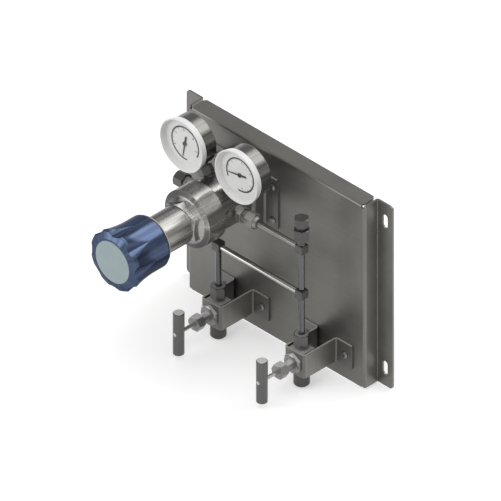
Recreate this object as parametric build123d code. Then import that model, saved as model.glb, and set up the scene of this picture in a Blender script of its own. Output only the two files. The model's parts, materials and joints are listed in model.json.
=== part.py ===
from build123d import *
import math
import os

# Millimetres. The origin lies on the wall plane, midway between the four mounting slots.
# X runs to the right, Y back into the wall and Z up. Distances called "reach" are measured
# from the front face of the back panel towards the user.

# Back panel
panel_width = 235.0
panel_height = 210.0
panel_depth = 19.5
panel_sheet = 2.0
panel_bend_inside = 0.7
flange_width = 20.0
flange_corner_radius = 4.0
return_depth = 19.0
return_end_gap = 3.9
return_corner_radius = 4.5
relief_width = 3.4
relief_inset = 3.0
relief_depth = 3.0
notch_width = 2.2
notch_depth = 1.0
slot_width = 6.5
slot_length = 15.5
slot_spacing_z = 169.0

# Bracket screws and their nuts
screw_thread_radius = 2.0
screw_head_radius = 3.7
screw_head_height = 2.2
screw_head_drop = 1.3
screw_head_crown_radius = 2.3
screw_hole_radius = 2.2
nut_flats = 7.0
nut_height = 3.2
nut_overrun = 1.3

# Folded bracket behind the regulator
regulator_x = -41.6
regulator_z = 50.1
bracket_standoff = 17.6
bracket_width = 56.0
bracket_foot = 17.2
bracket_height = 57.0
bracket_sheet = 2.0
bracket_bend_inside = 2.5
bracket_screw_offset = 38.5
bracket_screw_spacing_z = 38.0
mount_screw_radius = 2.5
mount_screw_spacing = 28.0
mount_screw_depth = 7.0
mount_head_radius = 4.25
mount_head_height = 3.4
mount_head_edge = 0.5
mount_hole_clearance = 0.2
bracket_foot_round = 3.0

# Regulator body, the union ring around it and the bonnet
port_reach = 34.8
body_radius = 26.4
body_front_reach = 54.0
body_neck_radius = 24.9
diaphragm_reach = 60.0
body_edge_chamfer = 1.2
port_thread_radius = 6.0
port_thread_depth = 12.0
port_face_radius = 9.0
port_face_cut = 1.4
passage_radius = 1.5
chamber_radius = 6.0
chamber_back_reach = 30.0
seat_pocket_radius = 7.0
recess_radius = 19.0
recess_depth = 3.0
thread_gap = 0.1
clamp_ring_inner_radius = 15.9
clamp_ring_front_reach = 70.0
skirt_radius = 30.2
skirt_front_reach = 77.3
shoulder_radius = 24.5
shoulder_reach = 79.1
shoulder_top_radius = 19.2
shoulder_top_reach = 83.0
shoulder_fillet = 5.0
bonnet_hex_flats = 40.0
bonnet_hex_back = 79.0
bonnet_hex_front = 88.8
bonnet_groove_radius = 18.8
bonnet_neck_radius = 19.8
bonnet_neck_back = 90.9
bonnet_neck_front = 131.0
bonnet_neck_edge = 1.0
bonnet_wall = 10.0
spring_chamber_radius = 15.5

# Pressure setting: knob, screw, button, spring and diaphragm
knob_back_reach = 126.5
knob_front_reach = 177.6
knob_back_radius = 27.8
knob_back_round = 3.0
knob_barrel_length = 13.5
knob_flare_radius = 117.0
knob_lobe_reach = 172.5
knob_lobe_bevel_reach = 175.0
knob_lobe_bevel_radius = 31.0
knob_rim_radius = 24.6
knob_cavity_radius = 21.2
knob_cavity_depth = 15.0
knob_web = 12.0
knob_recess_radius = 18.0
knob_cap_radius = 22.6
knob_cap_thickness = 3.0
knob_cap_gap = 0.15
knob_cap_edge = 0.5
flute_count = 8
flute_start_reach = 145.5
flute_floor_radius = 28.0
flute_half_angle = 24.0
flute_floor_slope = 0.8
wiper_thickness = 1.2
wiper_inner_radius = 20.4
wiper_outer_radius = 26.0
screw_radius = 5.0
screw_point = 2.5
screw_head_rim = 4.0
screw_head_length = 6.0
running_gap = 0.06
line_fit_gap = 0.02
button_back_reach = 99.0
button_thickness = 4.0
button_radius = 13.6
button_boss_radius = 8.6
button_boss_length = 4.0
boss_edge = 1.0
spring_wire_width = 3.6
spring_wire_height = 2.8
spring_mean_radius = 11.6
spring_turns = 5.5
spring_end_gap = 0.05
diaphragm_radius = 24.6
diaphragm_thickness = 0.5
plate_radius = 15.0
plate_thickness = 2.6
plate_boss_radius = 8.6
plate_boss_height = 3.0
seat_radius = 6.98
seat_hole_radius = 3.0
seat_back_reach = 46.0
seat_thickness = 3.0
poppet_head_radius = 4.4
poppet_stem_radius = 1.4
poppet_back_reach = 40.0
poppet_pin_radius = 1.8
poppet_pin_length = 2.0
poppet_cone_length = 1.5
poppet_seat_gap = 0.3
poppet_taper_length = 1.2
poppet_spring_wire = 0.8
poppet_spring_radius = 3.3
poppet_spring_turns = 4.5
body_gap = 0.3
overcut = 1.0

# Pressure gauges
gauge_names = ("inlet", "outlet")
gauge_lean = 35.0
gauge_distance = 63.8
gauge_case_radius = 26.0
gauge_case_back_reach = 26.7
gauge_case_wall = 1.2
gauge_case_round = 2.0
gauge_bezel_radius = 27.4
gauge_bezel_back_reach = 42.4
gauge_bezel_front_reach = 49.4
gauge_bezel_foot_opening = 25.2
gauge_lip_radius = 28.7
gauge_lip_opening = 27.1
gauge_lip_round = 0.75
gauge_bezel_overlap = 1.2
gauge_case_front_reach = 42.9
gauge_window_thickness = 1.2
gauge_window_reach = 45.8
gauge_dial_reach = 43.5
gauge_dial_thickness = 0.5
gauge_arbor_radius = 0.8
gauge_socket_flats = 14.0
gauge_socket_foot = 27.6
gauge_socket_top = 36.6
gauge_socket_neck_radius = 5.0
gauge_socket_block = 11.0
gauge_socket_block_end = 50.0
gauge_thread_radius = 5.0
gauge_thread_end = 18.0
gauge_bore_radius = 1.5
gauge_bore_end = 47.0
gauge_stem_hole_gap = 0.1
gauge_post_width = 8.0
gauge_post_depth = 3.0
gauge_post_offset = 2.5
gauge_post_top = 4.0
gauge_inner_gap = 1.0
gauge_arbor_hole_gap = 0.4
pointer_length = 15.0
pointer_tail = 8.5
pointer_hub_radius = 2.2
pointer_gap = 0.5
pointer_thickness = 0.5
pointer_tip_width = 0.4
pointer_middle_width = 1.4
pointer_tail_width = 1.8
arbor_length = 6.0
pointer_zero_turn = 45.0
bourdon_radius = 17.5
bourdon_sweep = 250.0
bourdon_width = 5.0
bourdon_thickness = 1.8
bourdon_corner = 0.8
bourdon_offset = 1.0
bourdon_entry_angle = 12.0
bourdon_fit_gap = 0.03

# Tube run
tube_radius = 3.0
tube_bore_radius = 2.0
tube_fit_gap = 0.05
tube_nut_flats = 14.3
thread_neck_radius = 5.6
fitting_hex_flats = 14.3
fitting_hex_start = 28.7
fitting_hex_end = 34.7
fitting_thread_end = 45.0
fitting_collar_radius = 7.2
outlet_nut_start = 39.3
outlet_nut_hex_end = 49.6
outlet_nut_end = 52.4
nut_collar_radius = 6.3
nut_collar_front_radius = 4.6
nut_collar_step = 0.5
ferrule_pocket = 3.0
outlet_nut_thread_gap = 2.0
inlet_nut_start = 43.3
inlet_nut_end = 55.3
tube_insert_depth = 8.0
block_size = 9.4
socket_depth = 1.5
block_edge = 0.4
passage_share = 0.8
riser_x = 68.4
riser_lower_z = -1.9
port_neck_radius = 4.2
port_neck_length = 5.8
port_hex_length = 12.6
port_thread_length = 3.4
port_thread_radius_step = 0.6
port_thread_cover = 5.0
port_cap_clearance = 0.5
port_turn = 15.0
port_cap_length = 9.2
port_cap_flats = 13.2

# Needle valves and their folded brackets
valve_names = ("left", "right")
valve_x = (-42.7, 68.4)
valve_z = -76.6
valve_bracket_reach = 45.2
valve_bracket_width = 26.6
valve_bracket_height = 26.4
valve_bracket_foot = 20.8
valve_bracket_sheet = 2.0
valve_bracket_bend_inside = 1.6
valve_bracket_screw_offset = 25.0
valve_bracket_foot_round = 1.5
valve_block_width = 19.0
valve_block_depth = 16.6
valve_block_height = 24.4
valve_block_edge = 0.6
valve_back_wall = 2.0
valve_passage_low = 2.0
valve_outlet_setback = 3.5
valve_tube_stop = 1.5
valve_tube_stop_wall = 1.5
valve_neck_radius = 4.6
valve_neck_length = 3.6
valve_thread_length = 6.0
valve_nut_length = 13.1
valve_bonnet_radius = 6.2
valve_bonnet_back = 37.2
valve_bonnet_neck_radius = 4.9
valve_bonnet_neck_end = 66.0
valve_chamber_radius = 5.0
valve_seat_reach = 31.5
valve_orifice_radius = 1.2
panel_nut_flats = 19.0
panel_nut_thickness = 3.9
packing_nut_flats = 14.3
packing_nut_back = 59.2
packing_nut_front = 67.9
stem_radius = 2.0
stem_thread_radius = 2.9
stem_thread_back = 44.5
stem_thread_front = 53.0
stem_bore_front = 58.0
stem_tip_back = 35.0
stem_tip_point = 1.1
stem_tip_point_edge = 0.3
stem_tip_seat_gap = 0.2
bar_radius = 5.65
bar_length = 47.2
bar_reach = 87.8
bar_edge = 0.6
bar_z_offset = 0.1
stem_end_overrun = 0.2
stem_end_edge_length = 0.6
stem_end_edge = 0.8
nipple_radius = 7.9
nipple_length = 17.8
nipple_neck_radius = 6.8
nipple_neck_length = 1.4
nipple_bore_radius = 3.0
nipple_thread_radius = 5.0
nipple_thread_length = 5.5
nipple_chamfer = 2.2
nipple_end_gap = 0.5

# Derived places
half_width = panel_width / 2
half_height = panel_height / 2
panel_face_y = -panel_depth
slot_x = half_width + flange_width / 2
bonnet_back_reach = diaphragm_reach + diaphragm_thickness
plate_back_reach = bonnet_back_reach + body_gap
knob_flare_reach = knob_back_reach + knob_barrel_length
button_front_reach = button_back_reach + button_thickness
plate_front_reach = plate_back_reach + plate_thickness
gauge_shoulder_reach = gauge_bezel_back_reach + gauge_bezel_overlap
cavity_end_reach = knob_back_reach + knob_cavity_depth
web_end_reach = cavity_end_reach + knob_web
upper_run_z = regulator_z
block_half = block_size / 2
valve_top_z = valve_z + valve_block_height / 2
valve_back_reach = valve_bracket_reach - valve_bracket_sheet - valve_block_depth
valve_front_reach = valve_bracket_reach - valve_bracket_sheet


def turned(*outline):
    """Solid of revolution about Z from (radius, height) corners."""
    face = make_face(Polyline(*[(radius, 0, height) for radius, height in outline], close=True))
    return revolve(face, Axis.Z)


def rod(radius, start, end):
    """Round bar along Z between two heights."""
    return Pos(0, 0, start) * extrude(Circle(radius), end - start)


def tube(outer_radius, inner_radius, start, end):
    """Round tube along Z between two heights."""
    return Pos(0, 0, start) * extrude(Circle(outer_radius) - Circle(inner_radius), end - start)


def hexagon(across_flats, start, end, turn=0.0):
    """Hexagonal bar along Z, with flats facing X until it is turned."""
    outline = RegularPolygon(across_flats / 2, 6, major_radius=False, rotation=turn)
    return Pos(0, 0, start) * extrude(outline, end - start)


def chamfered_hexagon(across_flats, start, end, turn=0.0, lower=True, upper=True):
    """Hexagonal bar whose corners are turned away at the chosen ends."""
    corner = across_flats / math.sqrt(3)
    face_radius = across_flats * 0.48
    drop = (corner - face_radius) * math.tan(math.radians(30))
    lower_radius = face_radius if lower else corner
    upper_radius = face_radius if upper else corner
    envelope = turned(
        (0, start),
        (lower_radius, start),
        (corner, start + (drop if lower else 0.0) + 0.001),
        (corner, end - (drop if upper else 0.0) - 0.001),
        (upper_radius, end),
        (0, end),
    )
    return hexagon(across_flats, start, end, turn) & envelope


def at_face(x, z):
    """Place whose Z points from the panel's face towards the user."""
    return Pos(x, panel_face_y, z) * Rot(90, 0, 0)


def to_right(x, reach, z):
    """Place whose Z points along X."""
    return Pos(x, panel_face_y - reach, z) * Rot(0, 90, 0)


def to_left(x, reach, z):
    """Place whose Z points against X."""
    return Pos(x, panel_face_y - reach, z) * Rot(0, -90, 0)


def upright(x, reach, z):
    """Place whose Z points up."""
    return Pos(x, panel_face_y - reach, z)


def group(*solids):
    """Several separate solids under one name."""
    return Compound(children=[item.solid() for item in solids])


def hat_section(half, foot, front_y, back_y, sheet, bend_inside, height):
    """Folded sheet with a front, two side walls and two outward feet, standing along Z."""
    inner = half - sheet
    tip = half + foot
    right = [
        (half, front_y),
        (half, back_y - sheet),
        (tip, back_y - sheet),
        (tip, back_y),
        (inner, back_y),
        (inner, front_y + sheet),
    ]
    left = [(-x, y) for x, y in reversed(right)]
    face = make_face(Polyline(*right, *left, close=True))
    outside = [(half, front_y), (inner, back_y)]
    inside = [(half, back_y - sheet), (inner, front_y + sheet)]
    for places, radius in ((outside, bend_inside + sheet), (inside, bend_inside)):
        corners = [v for v in face.vertices() if any(is_near(v, place) for place in places)]
        face = fillet(corners, radius)
    return Pos(0, 0, -height / 2) * extrude(face, height)


def is_near(vertex, place):
    """True where a vertex stands at a place or at its mirror image in X."""
    return abs(abs(vertex.X) - place[0]) < 0.01 and abs(vertex.Y - place[1]) < 0.01


def round_feet(part, tip, radius):
    """Round the outer corners of the feet of a folded sheet."""
    edges = [e for e in part.edges().filter_by(Axis.Y) if abs(abs(e.center().X) - tip) < 0.01]
    return fillet(edges, radius)


def coil(wire_width, wire_height, mean_radius, start, end, turns):
    """Helical spring of flat wire along Z between two heights, measured over its wire."""
    rise = end - start - wire_height
    path = Pos(0, 0, start + wire_height / 2) * Helix(rise / turns, rise, mean_radius)
    section = Plane(origin=path @ 0, z_dir=path % 0, x_dir=(1, 0, 0))
    return sweep(section * Rectangle(wire_width, wire_height), path, is_frenet=True)


# Back panel: the folded tray, its top return and the holes through it
def make_back_panel():
    tray = hat_section(
        half_width, flange_width, panel_face_y, 0, panel_sheet, panel_bend_inside, panel_height
    )
    tray = round_feet(tray, half_width + flange_width, flange_corner_radius)
    outside_bend = panel_bend_inside + panel_sheet
    return_half = half_width - return_end_gap
    tray -= Pos(0, panel_face_y, half_height) * Box(
        2 * return_half, 2 * outside_bend, 2 * outside_bend
    )
    tray += make_top_return(return_half, outside_bend)
    for side in (-1, 1):
        relief_x = side * (half_width - relief_inset)
        tray -= Pos(relief_x, panel_face_y, half_height) * Box(
            relief_width, 2 * relief_depth, 2 * relief_depth
        )
        tray -= Pos(relief_x, panel_face_y, -half_height) * Box(
            notch_width, 2 * relief_depth, 2 * notch_depth
        )
        for end in (-1, 1):
            slot = SlotOverall(slot_length, slot_width, rotation=90)
            place = Pos(side * slot_x, -panel_sheet - overcut, end * slot_spacing_z / 2)
            tray -= place * Rot(-90, 0, 0) * extrude(slot, panel_sheet + 2 * overcut)
    for x, z in bracket_screw_places():
        tray -= at_face(x, z) * rod(screw_hole_radius, -panel_sheet - overcut, overcut)
    return tray


def make_top_return(return_half, outside_bend):
    top = half_height
    outline = Polyline(
        (panel_face_y, top - 2 * outside_bend),
        (panel_face_y, top),
        (panel_face_y + return_depth, top),
        (panel_face_y + return_depth, top - panel_sheet),
        (panel_face_y + panel_sheet, top - panel_sheet),
        (panel_face_y + panel_sheet, top - 2 * outside_bend),
        close=True,
    )
    face = make_face(outline)
    outer = [v for v in face.vertices() if abs(v.X - panel_face_y) < 0.01 and abs(v.Y - top) < 0.01]
    face = fillet(outer, outside_bend)
    inner_x = panel_face_y + panel_sheet
    inner_y = top - panel_sheet
    inner = [v for v in face.vertices() if abs(v.X - inner_x) < 0.01 and abs(v.Y - inner_y) < 0.01]
    face = fillet(inner, panel_bend_inside)
    sheet = extrude(Plane.YZ * face, return_half, both=True)
    back_y = panel_face_y + return_depth
    edges = [e for e in sheet.edges().filter_by(Axis.Z) if abs(e.center().Y - back_y) < 0.01]
    return fillet(edges, return_corner_radius)


def bracket_screw_places():
    """Every place where a bracket foot is screwed to the panel."""
    places = []
    for side in (-1, 1):
        for end in (-1, 1):
            x = regulator_x + side * bracket_screw_offset
            places.append((x, regulator_z + end * bracket_screw_spacing_z / 2))
        for x in valve_x:
            places.append((x + side * valve_bracket_screw_offset, valve_z))
    return places


# Folded bracket behind the regulator
def make_regulator_bracket():
    sheet = hat_section(
        bracket_width / 2,
        bracket_foot,
        panel_face_y - bracket_standoff,
        panel_face_y,
        bracket_sheet,
        bracket_bend_inside,
        bracket_height,
    )
    sheet = Pos(regulator_x, 0, regulator_z) * round_feet(
        sheet, bracket_width / 2 + bracket_foot, bracket_foot_round
    )
    for x, z in bracket_screw_places():
        if z > 0:
            sheet -= at_face(x, z) * rod(screw_hole_radius, -overcut, bracket_sheet + overcut)
    for x in mount_screw_places():
        sheet -= at_face(x, regulator_z) * rod(
            mount_screw_radius + mount_hole_clearance,
            bracket_standoff - bracket_sheet - overcut,
            bracket_standoff + overcut,
        )
    return sheet


def mount_screw_places():
    return [regulator_x + side * mount_screw_spacing / 2 for side in (-1, 1)]


# Folded bracket that carries a needle valve by its bonnet
def make_valve_bracket(x):
    sheet = hat_section(
        valve_bracket_width / 2,
        valve_bracket_foot,
        panel_face_y - valve_bracket_reach,
        panel_face_y,
        valve_bracket_sheet,
        valve_bracket_bend_inside,
        valve_bracket_height,
    )
    tip = valve_bracket_width / 2 + valve_bracket_foot
    sheet = Pos(x, 0, valve_z) * round_feet(sheet, tip, valve_bracket_foot_round)
    for side in (-1, 1):
        sheet -= at_face(x + side * valve_bracket_screw_offset, valve_z) * rod(
            screw_hole_radius, -overcut, valve_bracket_sheet + overcut
        )
    sheet -= at_face(x, valve_z) * rod(
        valve_bonnet_radius + thread_gap,
        valve_front_reach - overcut,
        valve_bracket_reach + overcut,
    )
    return sheet


# Screws at the bracket feet and the nuts behind the panel
def make_bracket_screws():
    length = panel_sheet + nut_height + nut_overrun
    screw = turned(
        (0, -length),
        (screw_thread_radius, -length),
        (screw_thread_radius, bracket_sheet),
        (screw_head_radius, bracket_sheet),
        (screw_head_radius, bracket_sheet + screw_head_height - screw_head_drop),
        (screw_head_crown_radius, bracket_sheet + screw_head_height),
        (0, bracket_sheet + screw_head_height),
    )
    return group(*[at_face(x, z) * screw for x, z in bracket_screw_places()])


def make_bracket_nuts():
    blank = hexagon(nut_flats, -panel_sheet - nut_height, -panel_sheet)
    blank -= rod(screw_thread_radius + line_fit_gap, -panel_sheet - nut_height - overcut, 0)
    return group(*[at_face(x, z) * blank for x, z in bracket_screw_places()])


def make_mount_screws():
    head_front = bracket_standoff - bracket_sheet
    screw = turned(
        (0, head_front - mount_head_height),
        (mount_head_radius - mount_head_edge, head_front - mount_head_height),
        (mount_head_radius, head_front - mount_head_height + mount_head_edge),
        (mount_head_radius, head_front),
        (mount_screw_radius, head_front),
        (mount_screw_radius, bracket_standoff + mount_screw_depth),
        (0, bracket_standoff + mount_screw_depth),
    )
    return group(*[at_face(x, regulator_z) * screw for x in mount_screw_places()])


# Regulator body, turned from bar and drilled for its ports
def gauge_angle(index):
    """Angle of a gauge's stem seen from the front, from X towards Z."""
    return 90 + gauge_lean if index == 0 else 90 - gauge_lean


def make_regulator_body():
    c = body_edge_chamfer
    body = turned(
        (0, bracket_standoff),
        (body_radius - c, bracket_standoff),
        (body_radius, bracket_standoff + c),
        (body_radius, body_front_reach),
        (body_neck_radius, body_front_reach),
        (body_neck_radius, diaphragm_reach),
        (recess_radius, diaphragm_reach),
        (recess_radius, diaphragm_reach - recess_depth),
        (seat_pocket_radius, diaphragm_reach - recess_depth),
        (seat_pocket_radius, seat_back_reach),
        (chamber_radius, seat_back_reach),
        (chamber_radius, chamber_back_reach),
        (0, chamber_back_reach),
    )
    for angle in (0, 180, gauge_angle(0), gauge_angle(1)):
        body -= port_cutter(angle, port_thread_radius if angle in (0, 180) else gauge_thread_radius)
    for angle in (0, gauge_angle(1)):
        radius = body_radius - port_thread_depth + overcut
        x = radius * math.cos(math.radians(angle))
        y = radius * math.sin(math.radians(angle))
        body -= Pos(x, y, 0) * rod(passage_radius, port_reach, diaphragm_reach)
    for angle in (180, gauge_angle(0)):
        drill = Rot(0, 0, angle) * Pos(0, 0, port_reach) * Rot(0, 90, 0)
        body -= drill * rod(
            passage_radius, chamber_radius - overcut, body_radius - port_thread_depth + overcut
        )
    for side in (-1, 1):
        body -= Pos(side * mount_screw_spacing / 2, 0, 0) * rod(
            mount_screw_radius + line_fit_gap,
            bracket_standoff - overcut,
            bracket_standoff + mount_screw_depth + overcut,
        )
    return at_face(regulator_x, regulator_z) * body


def port_cutter(angle, thread_radius):
    """Drilled port with a spot face, at an angle around the body's axis."""
    start = body_radius - port_thread_depth
    hole = rod(thread_radius + thread_gap, start, body_radius + overcut)
    hole += rod(port_face_radius, body_radius - port_face_cut, body_radius + overcut)
    return Rot(0, 0, angle) * Pos(0, 0, port_reach) * Rot(0, 90, 0) * hole


# Flat ring that the bonnet presses on the diaphragm's rim
def make_bonnet_ring():
    ring = tube(
        body_neck_radius - thread_gap,
        clamp_ring_inner_radius,
        bonnet_back_reach,
        clamp_ring_front_reach,
    )
    return at_face(regulator_x, regulator_z) * ring


# Bonnet: skirt screwed over the body, sloping shoulder, hexagon and the long neck under the knob
def make_bonnet():
    c = body_edge_chamfer
    bonnet = turned(
        (body_neck_radius + thread_gap, body_front_reach),
        (skirt_radius - c, body_front_reach),
        (skirt_radius, body_front_reach + c),
        (skirt_radius, skirt_front_reach),
        (shoulder_radius, shoulder_reach),
        (shoulder_top_radius, shoulder_top_reach),
        (bonnet_groove_radius, shoulder_top_reach),
        (bonnet_groove_radius, bonnet_neck_back),
        (bonnet_neck_radius, bonnet_neck_back),
        (bonnet_neck_radius, bonnet_neck_front - bonnet_neck_edge),
        (bonnet_neck_radius - bonnet_neck_edge, bonnet_neck_front),
        (screw_radius + running_gap, bonnet_neck_front),
        (screw_radius + running_gap, bonnet_neck_front - bonnet_wall),
        (spring_chamber_radius, bonnet_neck_front - bonnet_wall),
        (spring_chamber_radius, clamp_ring_front_reach),
        (body_neck_radius + thread_gap, clamp_ring_front_reach),
    )
    shoulder = [e for e in bonnet.edges().filter_by(GeomType.CIRCLE) if is_shoulder(e)]
    bonnet = fillet(shoulder, shoulder_fillet)
    grip = chamfered_hexagon(
        bonnet_hex_flats, bonnet_hex_back, bonnet_hex_front, turn=30, lower=False
    )
    grip -= rod(bonnet_groove_radius, bonnet_hex_back - overcut, bonnet_hex_front + overcut)
    return at_face(regulator_x, regulator_z) * (bonnet + grip)


def is_shoulder(edge):
    """True for the hollow edge where the bonnet's shoulder turns up to the hexagon."""
    return abs(edge.radius - shoulder_radius) < 0.01 and abs(edge.center().Z - shoulder_reach) < 0.01


# Pressure knob: a flared grip with tapered flutes, a bevelled front and a hollow back
def make_pressure_knob():
    back = knob_back_reach
    front = knob_front_reach
    rise = knob_lobe_reach - knob_flare_reach
    lobe_radius = knob_back_radius + flare_rise(rise)
    side = Line((knob_back_radius, 0, back), (knob_back_radius, 0, knob_flare_reach))
    flare = ThreePointArc(
        (knob_back_radius, 0, knob_flare_reach),
        (knob_back_radius + flare_rise(rise / 2), 0, knob_flare_reach + rise / 2),
        (lobe_radius, 0, knob_lobe_reach),
    )
    rest = Polyline(
        (lobe_radius, 0, knob_lobe_reach),
        (knob_lobe_bevel_radius, 0, knob_lobe_bevel_reach),
        (knob_rim_radius, 0, front),
        (0, 0, front),
        (0, 0, back),
        (knob_back_radius, 0, back),
    )
    shell = revolve(make_face(side + flare + rest), Axis.Z)
    rear_edge = shell.edges().filter_by(GeomType.CIRCLE).sort_by(Axis.Z)[0]
    shell = fillet(rear_edge, knob_back_round)
    for index in range(flute_count):
        shell -= Rot(0, 0, index * 360 / flute_count) * flute_cutter()
    shell -= rod(knob_cavity_radius, back - overcut, cavity_end_reach)
    shell -= rod(
        screw_radius + line_fit_gap, cavity_end_reach - overcut, web_end_reach + overcut
    )
    shell -= rod(knob_recess_radius, web_end_reach, front)
    shell -= rod(knob_cap_radius + knob_cap_gap, front - knob_cap_thickness, front + overcut)
    return at_face(regulator_x, regulator_z) * shell


def flare_rise(distance):
    """Growth of the grip's radius at a distance along its flare."""
    return knob_flare_radius - math.sqrt(knob_flare_radius**2 - distance**2)


def flute_cutter():
    """Cone whose point lies on the grip and whose lowest line is the floor of a flute."""
    length = 1.5 * (knob_front_reach - flute_start_reach)
    cone = turned((0, 0), (length * math.tan(math.radians(flute_half_angle)), length), (0, length))
    lean = Rot(0, flute_half_angle + flute_floor_slope, 0)
    return Pos(flute_floor_radius, 0, flute_start_reach) * lean * cone


def make_knob_cap():
    edge = knob_cap_edge
    back = knob_front_reach - knob_cap_thickness
    cap = turned(
        (0, back),
        (knob_cap_radius, back),
        (knob_cap_radius, knob_front_reach - edge),
        (knob_cap_radius - edge, knob_front_reach),
        (0, knob_front_reach),
    )
    return at_face(regulator_x, regulator_z) * cap


def make_wiper_ring():
    back = knob_back_reach - wiper_thickness
    return at_face(regulator_x, regulator_z) * tube(
        wiper_outer_radius, wiper_inner_radius, back, knob_back_reach
    )


def make_adjusting_screw():
    back = button_front_reach + body_gap
    front = web_end_reach + screw_head_length
    screw = turned(
        (0, back),
        (screw_radius - screw_point, back),
        (screw_radius, back + screw_point),
        (screw_radius, web_end_reach),
        (screw_radius + screw_head_rim, web_end_reach),
        (screw_radius + screw_head_rim, front),
        (0, front),
    )
    return at_face(regulator_x, regulator_z) * screw


# Spring button, range spring and diaphragm inside the bonnet
def make_spring_button():
    back = button_back_reach
    button = turned(
        (0, back - button_boss_length),
        (button_boss_radius - boss_edge, back - button_boss_length),
        (button_boss_radius, back - button_boss_length + boss_edge),
        (button_boss_radius, back),
        (button_radius, back),
        (button_radius, button_front_reach),
        (0, button_front_reach),
    )
    return at_face(regulator_x, regulator_z) * button


def make_range_spring():
    start = plate_front_reach + spring_end_gap
    end = button_back_reach - spring_end_gap
    spring = coil(
        spring_wire_width, spring_wire_height, spring_mean_radius, start, end, spring_turns
    )
    return at_face(regulator_x, regulator_z) * spring


def make_diaphragm():
    sheet = rod(diaphragm_radius, diaphragm_reach, diaphragm_reach + diaphragm_thickness)
    return at_face(regulator_x, regulator_z) * sheet


def make_diaphragm_plate():
    plate = turned(
        (0, plate_back_reach),
        (plate_radius - boss_edge, plate_back_reach),
        (plate_radius, plate_back_reach + boss_edge),
        (plate_radius, plate_front_reach),
        (plate_boss_radius, plate_front_reach),
        (plate_boss_radius - boss_edge, plate_front_reach + plate_boss_height),
        (0, plate_front_reach + plate_boss_height),
    )
    return at_face(regulator_x, regulator_z) * plate


# Pressed seat, poppet and poppet spring in the body's chamber
def make_valve_seat():
    seat = tube(seat_radius, seat_hole_radius, seat_back_reach, seat_back_reach + seat_thickness)
    return at_face(regulator_x, regulator_z) * seat


def make_poppet():
    head_front = seat_back_reach - body_gap
    poppet = turned(
        (0, poppet_back_reach - poppet_pin_length),
        (poppet_pin_radius, poppet_back_reach - poppet_pin_length),
        (poppet_pin_radius, poppet_back_reach),
        (poppet_head_radius, poppet_back_reach),
        (poppet_head_radius, head_front - poppet_cone_length),
        (seat_hole_radius - poppet_seat_gap, head_front),
        (poppet_stem_radius, head_front + poppet_taper_length),
        (poppet_stem_radius, diaphragm_reach - body_gap),
        (0, diaphragm_reach - body_gap),
    )
    return at_face(regulator_x, regulator_z) * poppet


def make_poppet_spring():
    spring = coil(
        poppet_spring_wire,
        poppet_spring_wire,
        poppet_spring_radius,
        chamber_back_reach + spring_end_gap,
        poppet_back_reach - spring_end_gap,
        poppet_spring_turns,
    )
    return at_face(regulator_x, regulator_z) * spring


# Pressure gauges, standing radially on the body at equal angles
def gauge_centre(index):
    angle = math.radians(gauge_angle(index))
    x = regulator_x + gauge_distance * math.cos(angle)
    z = regulator_z + gauge_distance * math.sin(angle)
    return x, z


def make_gauge_case(index):
    back = gauge_case_back_reach
    wall = gauge_case_wall
    case = rod(gauge_case_radius, back, gauge_case_front_reach)
    case = fillet(case.edges().sort_by(Axis.Z)[0], gauge_case_round)
    case -= rod(gauge_case_radius - wall, back + wall, gauge_bezel_front_reach)
    hole = Rot(0, 0, gauge_angle(index) + 180) * Pos(0, 0, port_reach) * Rot(0, 90, 0)
    case -= hole * rod(
        gauge_socket_neck_radius + gauge_stem_hole_gap,
        gauge_case_radius / 2,
        gauge_case_radius + overcut,
    )
    x, z = gauge_centre(index)
    return at_face(x, z) * case


def make_gauge_bezel(index):
    """Ring that flares towards its rounded lip."""
    back = gauge_bezel_back_reach
    front = gauge_bezel_front_reach
    step = gauge_case_radius + tube_fit_gap
    bezel = turned(
        (step, back),
        (gauge_bezel_radius, back),
        (gauge_lip_radius, front),
        (gauge_lip_opening, front),
        (gauge_bezel_foot_opening, gauge_shoulder_reach),
        (step, gauge_shoulder_reach),
    )
    lip = [e for e in bezel.edges().filter_by(GeomType.CIRCLE) if is_lip(e)]
    bezel = fillet(lip, gauge_lip_round)
    x, z = gauge_centre(index)
    return at_face(x, z) * bezel


def is_lip(edge):
    """True for the two edges of a bezel's front."""
    return abs(edge.center().Z - gauge_bezel_front_reach) < 0.01


def bezel_opening(reach):
    """Inner radius of the flared bezel at a distance from the panel's face."""
    flare = (gauge_lip_opening - gauge_bezel_foot_opening) / (
        gauge_bezel_front_reach - gauge_shoulder_reach
    )
    return gauge_bezel_foot_opening + flare * (reach - gauge_shoulder_reach)


def make_gauge_window(index):
    back = gauge_window_reach
    front = back + gauge_window_thickness
    window = turned(
        (0, back),
        (bezel_opening(back) - line_fit_gap, back),
        (bezel_opening(front) - line_fit_gap, front),
        (0, front),
    )
    x, z = gauge_centre(index)
    return at_face(x, z) * window


def make_gauge_dial(index):
    x, z = gauge_centre(index)
    radius = gauge_case_radius - thread_gap
    back = gauge_dial_reach - gauge_dial_thickness
    return at_face(x, z) * tube(
        radius, gauge_arbor_radius + gauge_arbor_hole_gap, back, gauge_dial_reach
    )


def make_gauge_pointer(index):
    back = gauge_dial_reach + pointer_gap
    front = back + pointer_thickness
    tip = Polyline(
        (-pointer_tail, -pointer_tail_width / 2),
        (-pointer_tail, pointer_tail_width / 2),
        (0, pointer_middle_width / 2),
        (pointer_length, pointer_tip_width / 2),
        (pointer_length, -pointer_tip_width / 2),
        (0, -pointer_middle_width / 2),
        close=True,
    )
    pointer = Pos(0, 0, back) * extrude(make_face(tip), front - back)
    pointer += rod(pointer_hub_radius, back, front + pointer_thickness)
    pointer += rod(gauge_arbor_radius, gauge_dial_reach - arbor_length, front)
    turn = gauge_angle(index) + 180 - pointer_zero_turn
    x, z = gauge_centre(index)
    return at_face(x, z) * Rot(0, 0, turn) * pointer


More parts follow.
